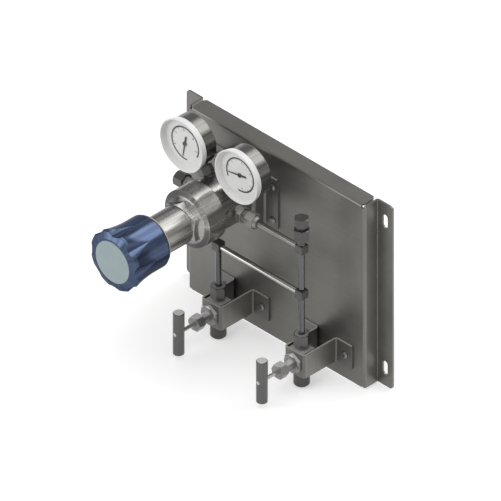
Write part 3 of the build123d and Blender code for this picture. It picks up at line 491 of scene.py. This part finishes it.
def tone_round(nodes, links, angle, stops):
    """Painted highlight and shade that follow the angle about an axis: pairs of degrees and level.
    """
    highest = max(tone for _, tone in stops)
    ramp = nodes.new("ShaderNodeValToRGB")
    set_stops(ramp, [(degrees / 360 + 0.5, tone / highest) for degrees, tone in stops])
    links.new(spread(nodes, links, angle, 0.0, 1.0, -math.pi, math.pi), ramp.inputs["Fac"])
    return product(nodes, links, ramp.outputs["Color"], highest)


def turned_steel(name, colour, centre, axis, rough, streak, painted_end_highlight=None, painted_light_stops=None):
    """Turned stainless steel: streaks along the axis, fine turning lines round it; given stops
    paint highlights and shade round the axis, and an end colour paints a highlight on faces that
    look up or down.
    """
    material, nodes, links, shader = new_surface(name, metallic=0.9)
    angle, along = round_place(nodes, links, centre, axis)
    streak_place = joined(nodes, links, angle, along, angle_scale=6.0, along_scale=0.3)
    streaks = noise(nodes, links, streak_place, scale=1.6, detail=1.0, roughness=0.5)
    line_place = joined(nodes, links, angle, along, angle_scale=0.5, along_scale=2600.0)
    lines = noise(nodes, links, line_place, scale=1.0, detail=2.0)
    specks = noise(nodes, links, stretched(nodes, links), scale=700, roughness=0.7)
    tone = product(
        nodes,
        links,
        spread(nodes, links, streaks, 1 - streak, 1 + streak),
        spread(nodes, links, lines, 0.985, 1.015),
    )
    # Painted highlights and painted shade round the axis, mixed from the stops for sides, neck and
    # front faces.
    if painted_light_stops:
        level = tone_round(nodes, links, angle, painted_light_stops["side"])
        shares = {
            "neck": spread(nodes, links, along, 0.0, 1.0, *neck_start),
            "front": face_share(nodes, links, "Y", 0.0, 1.0, front_band),
        }
        for place, share in shares.items():
            mixed = nodes.new("ShaderNodeMix")
            links.new(share, mixed.inputs["Factor"])
            links.new(level, mixed.inputs["A"])
            links.new(tone_round(nodes, links, angle, painted_light_stops[place]), mixed.inputs["B"])
            level = mixed.outputs["Result"]
        tone = product(nodes, links, tone, level)
    links.new(tinted(nodes, links, colour, tone), shader.inputs["Base Color"])
    roughness = product(
        nodes,
        links,
        spread(nodes, links, streaks, rough * 0.85, rough * 1.15),
        spread(nodes, links, specks, 0.96, 1.04),
    )
    links.new(roughness, shader.inputs["Roughness"])
    bumped(nodes, links, shader, lines, distance=0.0000006, strength=0.5)
    # Painted highlight on faces that look up or down.
    if painted_end_highlight:
        faced(nodes, links, shader, painted_end_highlight)
    return material


regulator_axis = (-0.0416, 0.0, 0.0501)
neck_start = (-0.1085, -0.1102)
front_band = (0.86, 0.93)
# Stops above 1 are painted highlights, stops below 1 painted shade.
regulator_painted_light_stops = {  # pairs of degrees round the axis and tone
    "side": (
        (-180, 0.6), (-60, 0.9), (-30, 1.5), (30, 1.5), (42, 2.8), (62, 1.9), (75, 1.05),
        (90, 1.2), (100, 0.6), (115, 0.34), (165, 0.36), (180, 0.6),
    ),
    "neck": (
        (-180, 0.4), (-60, 1.0), (-30, 1.5), (30, 1.5), (42, 2.0), (54, 1.2), (75, 0.95),
        (88, 1.7), (100, 0.6), (115, 0.25), (165, 0.25), (180, 0.4),
    ),
    "front": (
        (-180, 0.30), (-60, 0.26), (-20, 0.40), (0, 0.55), (14, 1.9), (30, 3.4), (50, 4.2),
        (60, 2.0), (72, 0.6), (90, 0.32), (150, 0.28), (180, 0.30),
    ),
}
regulator_steel = turned_steel(
    "regulator_steel",
    (0.212, 0.208, 0.199),
    regulator_axis,
    "y",
    rough=0.24,
    streak=0.16,
    painted_light_stops=regulator_painted_light_stops,
)
turned_edge = 0.0003
fine_edge = 0.0002
shoulder_angle = 20
finished("regulator_body", "turned_regulator_body", regulator_steel, turned_edge)
finished("bonnet", "turned_bonnet", regulator_steel, turned_edge, shoulder_angle)
finished("bonnet_ring", "diaphragm_clamp_ring", regulator_steel, fine_edge)


# Pressure knob: moulded blue plastic, semi-gloss, with a grey insert in its front and a
# felt-like wiper ring at its back that closes the gap to the bonnet's neck.
def moulded_plastic(name, colour, rough, flake=0.0, axis=None):
    """Semi-gloss moulded plastic: faint flow clouds and a very fine orange-peel skin."""
    material, nodes, links, shader = new_surface(name, metallic=flake)
    clouds = noise(nodes, links, stretched(nodes, links), scale=60)
    skin = noise(nodes, links, stretched(nodes, links), scale=1100, detail=2.0)
    tone = spread(nodes, links, clouds, 0.95, 1.06)
    if axis:
        angle, along = round_place(nodes, links, axis, "y")
        streak_place = joined(nodes, links, angle, along, angle_scale=5.0, along_scale=4.0)
        streaks = noise(nodes, links, streak_place, scale=1.4, detail=2.0, roughness=0.5)
        tone = product(nodes, links, tone, spread(nodes, links, streaks, 0.72, 1.30))
        shader.inputs["Specular Tint"].default_value = (0.2, 0.22, 0.26, 1)
        shader.inputs["Specular IOR Level"].default_value = 0.3
    links.new(tinted(nodes, links, colour, tone), shader.inputs["Base Color"])
    links.new(spread(nodes, links, clouds, rough * 0.9, rough * 1.1), shader.inputs["Roughness"])
    bumped(nodes, links, shader, skin, distance=0.00002, strength=0.3)
    return material


knob_blue = moulded_plastic(
    "knob_blue", (0.058, 0.080, 0.138), rough=0.17, flake=0.66, axis=regulator_axis
)
cap_grey = moulded_plastic("cap_grey", (0.27, 0.335, 0.35), rough=0.45)
wiper_beige = moulded_plastic("wiper_beige", (0.42, 0.38, 0.28), rough=0.6)
knob_edge = 0.0005
flute_angle = 22
finished("pressure_knob", "fluted_pressure_knob", knob_blue, knob_edge, flute_angle)
finished("knob_cap", "knob_front_insert", cap_grey, 0.0)
finished("knob_wiper_ring", "knob_wiper", wiper_beige, fine_edge)
finished("adjusting_screw", "range_adjusting_screw", regulator_steel, fine_edge)


# Parts inside the bonnet and the body: button, plate, poppet, springs, diaphragm and seat.
# Most of them show only when the bonnet is cut open.
seat_polymer = moulded_plastic("seat_polymer", (0.62, 0.60, 0.52), rough=0.4)
spring_steel = turned_steel(
    "spring_steel", (0.22, 0.22, 0.215), regulator_axis, "y", rough=0.32, streak=0.1
)


def dressed(node, material):
    """A CAD node that keeps its own shape and takes a material."""
    mesh = frame["nodes"][node].data
    mesh.materials.clear()
    mesh.materials.append(material)


for node in ("spring_button", "diaphragm_plate", "poppet"):
    dressed(node, regulator_steel)
for node in ("range_spring", "poppet_spring", "diaphragm"):
    dressed(node, spring_steel)
dressed("valve_seat", seat_polymer)


# Pressure gauges: spun steel cases with white enamelled bezels, a clear window over a
# printed white dial, a black pointer, and a machined socket that carries the brass tube.
gauge_places = {}
for gauge in ("inlet", "outlet"):
    low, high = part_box(gauge + "_gauge_case")
    gauge_places[gauge] = ((low.x + high.x) / 2, 0.0, (low.z + high.z) / 2)


def enamel(name, colour, rough):
    """Stoved enamel or printing ink: nearly even colour, very fine skin."""
    material, nodes, links, shader = new_surface(name, metallic=0.0)
    clouds = noise(nodes, links, stretched(nodes, links), scale=90)
    skin = noise(nodes, links, stretched(nodes, links), scale=900, detail=2.0)
    tone = spread(nodes, links, clouds, 0.985, 1.015)
    links.new(tinted(nodes, links, colour, tone), shader.inputs["Base Color"])
    links.new(spread(nodes, links, skin, rough * 0.9, rough * 1.1), shader.inputs["Roughness"])
    bumped(nodes, links, shader, skin, distance=0.00001, strength=0.25)
    return material


def clear_window(name):
    """Thin clear sheet: light goes straight through, and its outer side has a sheen."""
    material, nodes, links, shader = new_surface(name, metallic=1.0)
    shader.inputs["Base Color"].default_value = (1, 1, 1, 1)
    shader.inputs["Roughness"].default_value = 0.03
    sheen = nodes.new("ShaderNodeFresnel")
    sheen.inputs["IOR"].default_value = 1.25
    side = nodes.new("ShaderNodeNewGeometry")
    outer = nodes.new("ShaderNodeMath")
    outer.operation = "SUBTRACT"
    outer.use_clamp = True
    links.new(sheen.outputs[0], outer.inputs[0])
    links.new(side.outputs["Backfacing"], outer.inputs[1])
    through = nodes.new("ShaderNodeBsdfTransparent")
    mix = nodes.new("ShaderNodeMixShader")
    links.new(outer.outputs[0], mix.inputs["Fac"])
    links.new(through.outputs[0], mix.inputs[1])
    links.new(shader.outputs[0], mix.inputs[2])
    links.new(mix.outputs[0], nodes["Material Output"].inputs["Surface"])
    return material


def drawn_brass(name, colour):
    """Drawn brass tube with fine lines from the die."""
    material, nodes, links, shader = new_surface(name, metallic=1.0)
    lines = noise(nodes, links, stretched(nodes, links, (1, 0.2, 1)), scale=800, detail=2.0)
    tone = spread(nodes, links, lines, 0.9, 1.1)
    links.new(tinted(nodes, links, colour, tone), shader.inputs["Base Color"])
    links.new(spread(nodes, links, lines, 0.25, 0.4), shader.inputs["Roughness"])
    bumped(nodes, links, shader, lines, distance=0.00001, strength=0.4)
    return material


bezel_white = enamel("bezel_white", (0.72, 0.72, 0.71), rough=0.38)
dial_white = enamel("dial_white", (0.70, 0.70, 0.69), rough=0.6)
ink_grey = enamel("ink_grey", (0.03, 0.03, 0.031), rough=0.6)
pointer_black = enamel("pointer_black", (0.012, 0.012, 0.012), rough=0.5)
window_clear = clear_window("window_clear")
bourdon_brass = drawn_brass("bourdon_brass", (0.55, 0.42, 0.20))

dial_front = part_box("inlet_gauge_dial")[0].y
print_height = 0.00006
scale_sizes = {
    "Radius": 0.0178,
    "Width": 0.0016,
    "Gap": math.radians(27),
    "Zero": math.radians(45),
    "Sweep": math.radians(270),
    "Count": 51,
    "Tick Length": 0.0013,
    "Tick Width": 0.00025,
    "Long Tick Extra": 0.0011,
    "Wide Tick Extra": 0.00015,
    "Inset": 0.0002,
    "Height": print_height,
    "Finish": ink_grey,
}
ticks_per_number = 5.0
number_radius = 0.0142
number_size = 0.0018
dial_numbers = {"inlet": (0, 50, 100, 150, 200, 250), "outlet": (0, 2, 4, 6, 8, 10)}
stem_angle = {"inlet": math.radians(305), "outlet": math.radians(235)}
socket_edge = 0.00025


def new_piece(name, mesh, material, body, slot):
    """A piece that the solid model doesn't have, attached to its own body; its slot argument is not
    used.
    """
    mesh.materials.clear()
    mesh.materials.append(material)
    piece = bpy.data.objects.new(name, mesh)
    bpy.context.scene.collection.objects.link(piece)
    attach(piece, body)
    return piece


def node_tree(name, sizes):
    """Geometry Nodes tree with a geometry input, an input for each size and an output."""
    tree = bpy.data.node_groups.new(name, "GeometryNodeTree")
    tree.interface.new_socket(name="Geometry", in_out="INPUT", socket_type="NodeSocketGeometry")
    kinds = {"Count": "NodeSocketInt", "Finish": "NodeSocketMaterial"}
    for size in sizes:
        kind = kinds.get(size, "NodeSocketFloat")
        tree.interface.new_socket(name=size, in_out="INPUT", socket_type=kind)
    tree.interface.new_socket(name="Geometry", in_out="OUTPUT", socket_type="NodeSocketGeometry")
    return tree, tree.nodes.new("NodeGroupInput"), tree.nodes.new("NodeGroupOutput")


def close_tree(tree, start, end, geometry):
    """End a tree in real geometry with its finish."""
    real = tree.nodes.new("GeometryNodeRealizeInstances")
    finish = tree.nodes.new("GeometryNodeSetMaterial")
    tree.links.new(geometry, real.inputs[0])
    tree.links.new(real.outputs[0], finish.inputs["Geometry"])
    tree.links.new(start.outputs["Finish"], finish.inputs["Material"])
    tree.links.new(finish.outputs[0], end.inputs[0])


def grown_mesh(name, tree, sizes):
    """Plain mesh that a tree makes with its sizes."""
    holder = bpy.data.objects.new(name + "_seed", bpy.data.meshes.new(name + "_seed"))
    bpy.context.scene.collection.objects.link(holder)
    modifier = holder.modifiers.new("grow", "NODES")
    modifier.node_group = tree
    for socket in tree.interface.items_tree:
        if socket.in_out == "INPUT" and socket.name in sizes:
            modifier[socket.identifier] = sizes[socket.name]
    mesh = plain_mesh(holder)
    mesh.name = name
    bpy.data.objects.remove(holder)
    return mesh


def make_scale_tree():
    """Printed scale: an arc with ticks inside it, every fifth one longer."""
    tree, start, end = node_tree("dial_scale", scale_sizes)
    nodes, links = tree.nodes, tree.links

    def number(operation, *values):
        """Result of a sum on sockets and plain numbers."""
        node = nodes.new("ShaderNodeMath")
        node.operation = operation
        for index, value in enumerate(values):
            if isinstance(value, (int, float)):
                node.inputs[index].default_value = value
            else:
                links.new(value, node.inputs[index])
        return node.outputs[0]

    sizes = start.outputs
    arc = nodes.new("GeometryNodeCurveArc")
    arc.mode = "RADIUS"
    arc.inputs["Resolution"].default_value = 160
    links.new(sizes["Radius"], arc.inputs["Radius"])
    links.new(sizes["Gap"], arc.inputs["Start Angle"])
    both_gaps = number("MULTIPLY", sizes["Gap"], 2.0)
    links.new(number("SUBTRACT", 2 * math.pi, both_gaps), arc.inputs["Sweep Angle"])
    band = nodes.new("GeometryNodeCurvePrimitiveQuadrilateral")
    links.new(sizes["Width"], band.inputs["Width"])
    links.new(sizes["Height"], band.inputs["Height"])
    arc_mesh = nodes.new("GeometryNodeCurveToMesh")
    arc_mesh.inputs["Fill Caps"].default_value = True
    links.new(arc.outputs["Curve"], arc_mesh.inputs["Curve"])
    links.new(band.outputs["Curve"], arc_mesh.inputs["Profile Curve"])
    ticks = nodes.new("GeometryNodeMeshLine")
    ticks.mode = "OFFSET"
    links.new(sizes["Count"], ticks.inputs["Count"])
    ticks.inputs["Offset"].default_value = (0, 0, 0)
    index = nodes.new("GeometryNodeInputIndex").outputs[0]
    share = number("DIVIDE", index, number("SUBTRACT", sizes["Count"], 1.0))
    angle = number("ADD", sizes["Zero"], number("MULTIPLY", share, sizes["Sweep"]))
    long_tick = number("COMPARE", number("MODULO", index, ticks_per_number), 0.0, 0.1)
    longer = number("MULTIPLY", long_tick, sizes["Long Tick Extra"])
    length = number("ADD", longer, sizes["Tick Length"])
    inwards = number("ADD", number("MULTIPLY", length, 0.5), sizes["Inset"])
    middle = number("SUBTRACT", sizes["Radius"], inwards)
    place = nodes.new("ShaderNodeCombineXYZ")
    links.new(number("MULTIPLY", middle, number("COSINE", angle)), place.inputs["X"])
    links.new(number("MULTIPLY", middle, number("SINE", angle)), place.inputs["Y"])
    moved = nodes.new("GeometryNodeSetPosition")
    links.new(ticks.outputs["Mesh"], moved.inputs["Geometry"])
    links.new(place.outputs[0], moved.inputs["Position"])
    bar = nodes.new("GeometryNodeMeshCube")
    bar.inputs["Size"].default_value = (1, 1, 1)
    stamped = nodes.new("GeometryNodeInstanceOnPoints")
    links.new(moved.outputs[0], stamped.inputs["Points"])
    links.new(bar.outputs["Mesh"], stamped.inputs["Instance"])
    turn = nodes.new("ShaderNodeCombineXYZ")
    links.new(angle, turn.inputs["Z"])
    links.new(turn.outputs[0], stamped.inputs["Rotation"])
    shape = nodes.new("ShaderNodeCombineXYZ")
    links.new(length, shape.inputs["X"])
    wider = number("MULTIPLY", long_tick, sizes["Wide Tick Extra"])
    links.new(number("ADD", wider, sizes["Tick Width"]), shape.inputs["Y"])
    links.new(sizes["Height"], shape.inputs["Z"])
    links.new(shape.outputs[0], stamped.inputs["Scale"])
    both = nodes.new("GeometryNodeJoinGeometry")
    links.new(stamped.outputs[0], both.inputs[0])
    links.new(arc_mesh.outputs[0], both.inputs[0])
    close_tree(tree, start, end, both.outputs[0])
    return tree


def numeral_mesh(word, x, y):
    """A dial number as a thin solid, centred at a place in the dial's plane."""
    text = bpy.data.curves.new("numeral", "FONT")
    text.body = word
    text.size = number_size
    text.align_x = "CENTER"
    text.align_y = "CENTER"
    text.extrude = print_height / 2
    text.resolution_u = 3
    holder = bpy.data.objects.new("numeral", text)
    bpy.context.scene.collection.objects.link(holder)
    mesh = plain_mesh(holder)
    bpy.data.objects.remove(holder)
    mesh.transform(Matrix.Translation((x, y, 0)))
    return mesh


def merged(name, meshes):
    """Several meshes as one."""
    form = bmesh.new()
    for mesh in meshes:
        form.from_mesh(mesh)
    result = bpy.data.meshes.new(name)
    form.to_mesh(result)
    form.free()
    for mesh in meshes:
        bpy.data.meshes.remove(mesh)
    return result


scale_tree = make_scale_tree()
mirrored = Matrix.Scale(-1, 4, (0, 1, 0))
upright = Matrix.Rotation(math.radians(90), 4, "X")
for gauge in ("inlet", "outlet"):
    centre = gauge_places[gauge]
    case_steel = turned_steel(
        gauge + "_case_steel", (0.150, 0.147, 0.139), centre, "y", rough=0.26, streak=0.22
    )
    socket_steel = rolled_sheet(gauge + "_socket_steel", (0.15, 0.148, 0.14), (1, 1, 0.2))
    finished(gauge + "_gauge_case", gauge + "_spun_case", case_steel, fine_edge)
    finished(gauge + "_gauge_bezel", gauge + "_white_bezel", bezel_white, turned_edge)
    finished(gauge + "_gauge_window", gauge + "_clear_window", window_clear, 0.0)
    finished(gauge + "_gauge_dial", gauge + "_dial_plate", dial_white, 0.0)
    finished(gauge + "_gauge_pointer", gauge + "_black_pointer", pointer_black, 0.0)
    finished(gauge + "_gauge_socket", gauge + "_machined_socket", socket_steel, socket_edge)
    dressed(gauge + "_bourdon_tube", bourdon_brass)
    stem = stem_angle[gauge]
    scale = grown_mesh(gauge + "_scale", scale_tree, scale_sizes)
    scale.transform(Matrix.Rotation(stem, 4, "Z") @ mirrored)
    scale.flip_normals()
    prints = [scale]
    numbers = dial_numbers[gauge]
    for index, value in enumerate(numbers):
        angle = stem - scale_sizes["Zero"] - scale_sizes["Sweep"] * index / (len(numbers) - 1)
        x = number_radius * math.cos(angle)
        y = number_radius * math.sin(angle)
        prints.append(numeral_mesh(str(value), x, y))
    print_mesh = merged(gauge + "_dial_print", prints)
    print_place = Matrix.Translation((centre[0], dial_front - print_height / 2, centre[2]))
    print_mesh.transform(print_place @ upright)
    new_piece(gauge + "_dial_print", print_mesh, ink_grey, "panel", "pointer_black")


# Compression fittings and tube: machined stainless hexagons, square forged-and-milled tees,
# drawn 6 mm tube with a bright skin, and cut threads on the necks of the connectors.
def milled_steel(name, colour, rough, grain, metallic=0.8, top=None, top_band=facing_band):
    """Milled flats: fine cutter lines across, slight tone change from flat to flat, and where a top
    colour is given, a painted highlight on faces that look up or down.
    """
    material, nodes, links, shader = new_surface(name, metallic)
    lines = noise(nodes, links, stretched(nodes, links, grain), scale=1500, detail=2.0)
    patches = noise(nodes, links, stretched(nodes, links), scale=130, detail=2.0)
    tone = product(
        nodes,
        links,
        spread(nodes, links, patches, 0.9, 1.1),
        spread(nodes, links, lines, 0.92, 1.08),
    )
    links.new(tinted(nodes, links, colour, tone), shader.inputs["Base Color"])
    links.new(spread(nodes, links, lines, rough * 0.85, rough * 1.15), shader.inputs["Roughness"])
    bumped(nodes, links, shader, lines, distance=0.00001, strength=0.4)
    # painted highlight on faces that look up or down
    if top:
        faced(nodes, links, shader, top, top_band)
    return material


def make_thread_tree():
    """Cut thread: one sharp ridge wound round a neck at its own radius and pitch."""
    tree, start, end = node_tree("cut_thread", ("Radius", "Pitch", "Length", "Ridge", "Finish"))
    nodes, links = tree.nodes, tree.links
    turns = nodes.new("ShaderNodeMath")
    turns.operation = "DIVIDE"
    links.new(start.outputs["Length"], turns.inputs[0])
    links.new(start.outputs["Pitch"], turns.inputs[1])
    coil = nodes.new("GeometryNodeCurveSpiral")
    coil.inputs["Resolution"].default_value = 32
    links.new(turns.outputs[0], coil.inputs["Rotations"])
    links.new(start.outputs["Radius"], coil.inputs["Start Radius"])
    links.new(start.outputs["Radius"], coil.inputs["End Radius"])
    links.new(start.outputs["Length"], coil.inputs["Height"])
    section = nodes.new("GeometryNodeCurvePrimitiveCircle")
    section.inputs["Resolution"].default_value = 4
    links.new(start.outputs["Ridge"], section.inputs["Radius"])
    ridge = nodes.new("GeometryNodeCurveToMesh")
    ridge.inputs["Fill Caps"].default_value = True
    links.new(coil.outputs["Curve"], ridge.inputs["Curve"])
    links.new(section.outputs["Curve"], ridge.inputs["Profile Curve"])
    close_tree(tree, start, end, ridge.outputs[0])
    return tree


run_y = -0.0543
upper_run_z = 0.0501
lower_run_z = -0.0019
riser_x = 0.0684

# Hexagon flats that look up at a slant take the painted highlight of a top colour.
hexagon_band = (0.60, 0.84)
fitting_steel = milled_steel(
    "fitting_steel",
    (0.23, 0.226, 0.216),
    rough=0.34,
    grain=(0.15, 1, 1),
    metallic=0.85,
    # painted highlight on the upper flats
    top=(0.44, 0.43, 0.41),
    top_band=hexagon_band,
)
port_steel = milled_steel("port_steel", (0.082, 0.081, 0.079), rough=0.28, grain=(0.15, 1, 1))
tube_nut_steel = milled_steel(
    "tube_nut_steel",
    (0.10, 0.098, 0.095),
    rough=0.34,
    grain=(1, 1, 0.15),
    # painted highlight on faces that look up or down
    top=(0.30, 0.29, 0.28),
)
tee_steel = milled_steel("tee_steel", (0.095, 0.094, 0.090), rough=0.42, grain=(1, 1, 0.15))

thread_tree = make_thread_tree()
thread_pitch = 0.0011
thread_ridge = 0.0004
along_x = Matrix.Rotation(math.radians(90), 4, "Y")
along_z = Matrix.Identity(4)
neck_threads = {  # name, direction, start, radius, length and finish
    "outlet_connector": (
        "outlet_neck_thread", along_x, (-0.0066, run_y, upper_run_z), 0.0056, 0.0042, fitting_steel
    ),
    "inlet_connector": (
        "inlet_neck_thread", along_x, (-0.0848, run_y, upper_run_z), 0.0056, 0.0082, fitting_steel
    ),
    "port_connector": (
        "spare_port_thread", along_z, (riser_x, run_y, 0.0735), 0.0050, 0.0030, port_steel
    ),
}
for node, (name, turn, start, radius, length, material) in neck_threads.items():
    sizes = {
        "Radius": radius,
        "Pitch": thread_pitch,
        "Length": length,
        "Ridge": thread_ridge,
        "Finish": material,
    }
    thread = grown_mesh(name, thread_tree, sizes)
    thread.transform(Matrix.Translation(start) @ turn)
    new_piece(name, thread, material, "panel", slot_of(node))

fitting_edge = 0.00028
hexagon_angle = 24
for node, name, material in (
    ("inlet_connector", "inlet_port_connector", fitting_steel),
    ("outlet_connector", "outlet_port_connector", fitting_steel),
    ("outlet_nut", "outlet_compression_nut", fitting_steel),
    ("tube_nuts", "compression_nuts", tube_nut_steel),
    ("port_connector", "spare_port_connector", port_steel),
    ("port_cap", "spare_port_cap", port_steel),
):
    finished(node, name, material, fitting_edge, hexagon_angle)
for node, name in (
    ("upper_tee", "upper_square_tee"),
    ("lower_tee", "lower_square_tee"),
    ("elbow", "square_elbow"),
):
    finished(node, name, tee_steel, 0.0)

# The tube copies differ only in colour: the lower run is painted lighter and the riser and drops
# darker, as painted light and painted shade on one drawn tube.
upper_tube_steel = turned_steel(
    "upper_tube_steel", (0.26, 0.256, 0.245), (0.0, run_y, upper_run_z), "x", rough=0.2, streak=0.08
)
cross_tube_steel = turned_steel(
    "cross_tube_steel", (0.36, 0.355, 0.34), (0.0, run_y, lower_run_z), "x", rough=0.2, streak=0.08
)
riser_steel = turned_steel(
    "riser_steel", (0.112, 0.114, 0.117), (riser_x, run_y, 0.0), "z", rough=0.2, streak=0.14
)
finished("outlet_tube", "upper_run_tube", upper_tube_steel, 0.0)
finished("cross_tube", "lower_run_tube", cross_tube_steel, 0.0)
finished("riser_tube", "riser_run_tube", riser_steel, 0.0)
finished("drop_tubes", "valve_drop_tubes", riser_steel, 0.0)


# Needle valves: square machined bodies behind their brackets, panel nuts and packing nuts
# in front, bright stems with steel T-bars, and dark round nipples below.
valve_steel = milled_steel(
    "valve_steel",
    (0.27, 0.266, 0.254),
    rough=0.40,
    grain=(1, 0.15, 1),
    metallic=0.7,
    # painted highlight on the valve bodies' faces that look up or down
    top=(0.46, 0.45, 0.43),
)
nut_steel = milled_steel(
    "nut_steel",
    (0.25, 0.247, 0.24),
    rough=0.34,
    grain=(1, 0.15, 1),
    metallic=0.65,
    # painted highlight on the upper flats of the nuts
    top=(0.66, 0.65, 0.63),
    top_band=hexagon_band,
)
dark_finish = milled_steel("dark_finish", (0.085, 0.083, 0.080), rough=0.42, grain=(1, 1, 0.1))
valve_places = {"left": -0.0427, "right": riser_x}
valve_height = -0.0766
bar_y = -0.1073
finished("valve_bonnets", "valve_bonnets_turned", nut_steel, fine_edge)
finished("valve_panel_nuts", "valve_mounting_nuts", nut_steel, fitting_edge, hexagon_angle)
finished("packing_nuts", "stem_packing_nuts", nut_steel, fitting_edge, hexagon_angle)
finished("outlet_nipples", "dark_outlet_nipples", dark_finish, fine_edge)
for side, valve_x in valve_places.items():
    stem_axis = (valve_x, 0.0, valve_height)
    stem_steel = turned_steel(
        side + "_stem_steel", (0.48, 0.475, 0.46), stem_axis, "y", rough=0.3, streak=0.06
    )
    bar_steel = turned_steel(
        side + "_bar_steel",
        (0.12, 0.119, 0.115),
        (valve_x, bar_y, 0.0),
        "z",
        rough=0.24,
        streak=0.2,
        # The bar's faces that look up or down are painted light: a painted highlight.
        painted_end_highlight=(0.74, 0.73, 0.70),
    )
    finished(side + "_valve_body", side + "_milled_valve_body", valve_steel, fine_edge)
    finished(side + "_valve_stem", side + "_bright_stem", stem_steel, 0.0)
    finished(side + "_handle_bar", side + "_steel_bar", bar_steel, fine_edge)
    dressed(side + "_stem_tip", stem_steel)


# Fasteners: screws of the brackets and of the regulator, and the nuts behind the panel.
# Ordinary stainless machine screws, left bright from the factory.
screw_steel = milled_steel("screw_steel", (0.21, 0.208, 0.20), rough=0.25, grain=(1, 1, 1))
finished("bracket_screws", "bracket_foot_screws", screw_steel, fine_edge, hexagon_angle)
finished("regulator_mount_screws", "regulator_fixing_screws", screw_steel, fine_edge, hexagon_angle)
finished("bracket_nuts", "nuts_behind_panel", screw_steel, fine_edge, hexagon_angle)
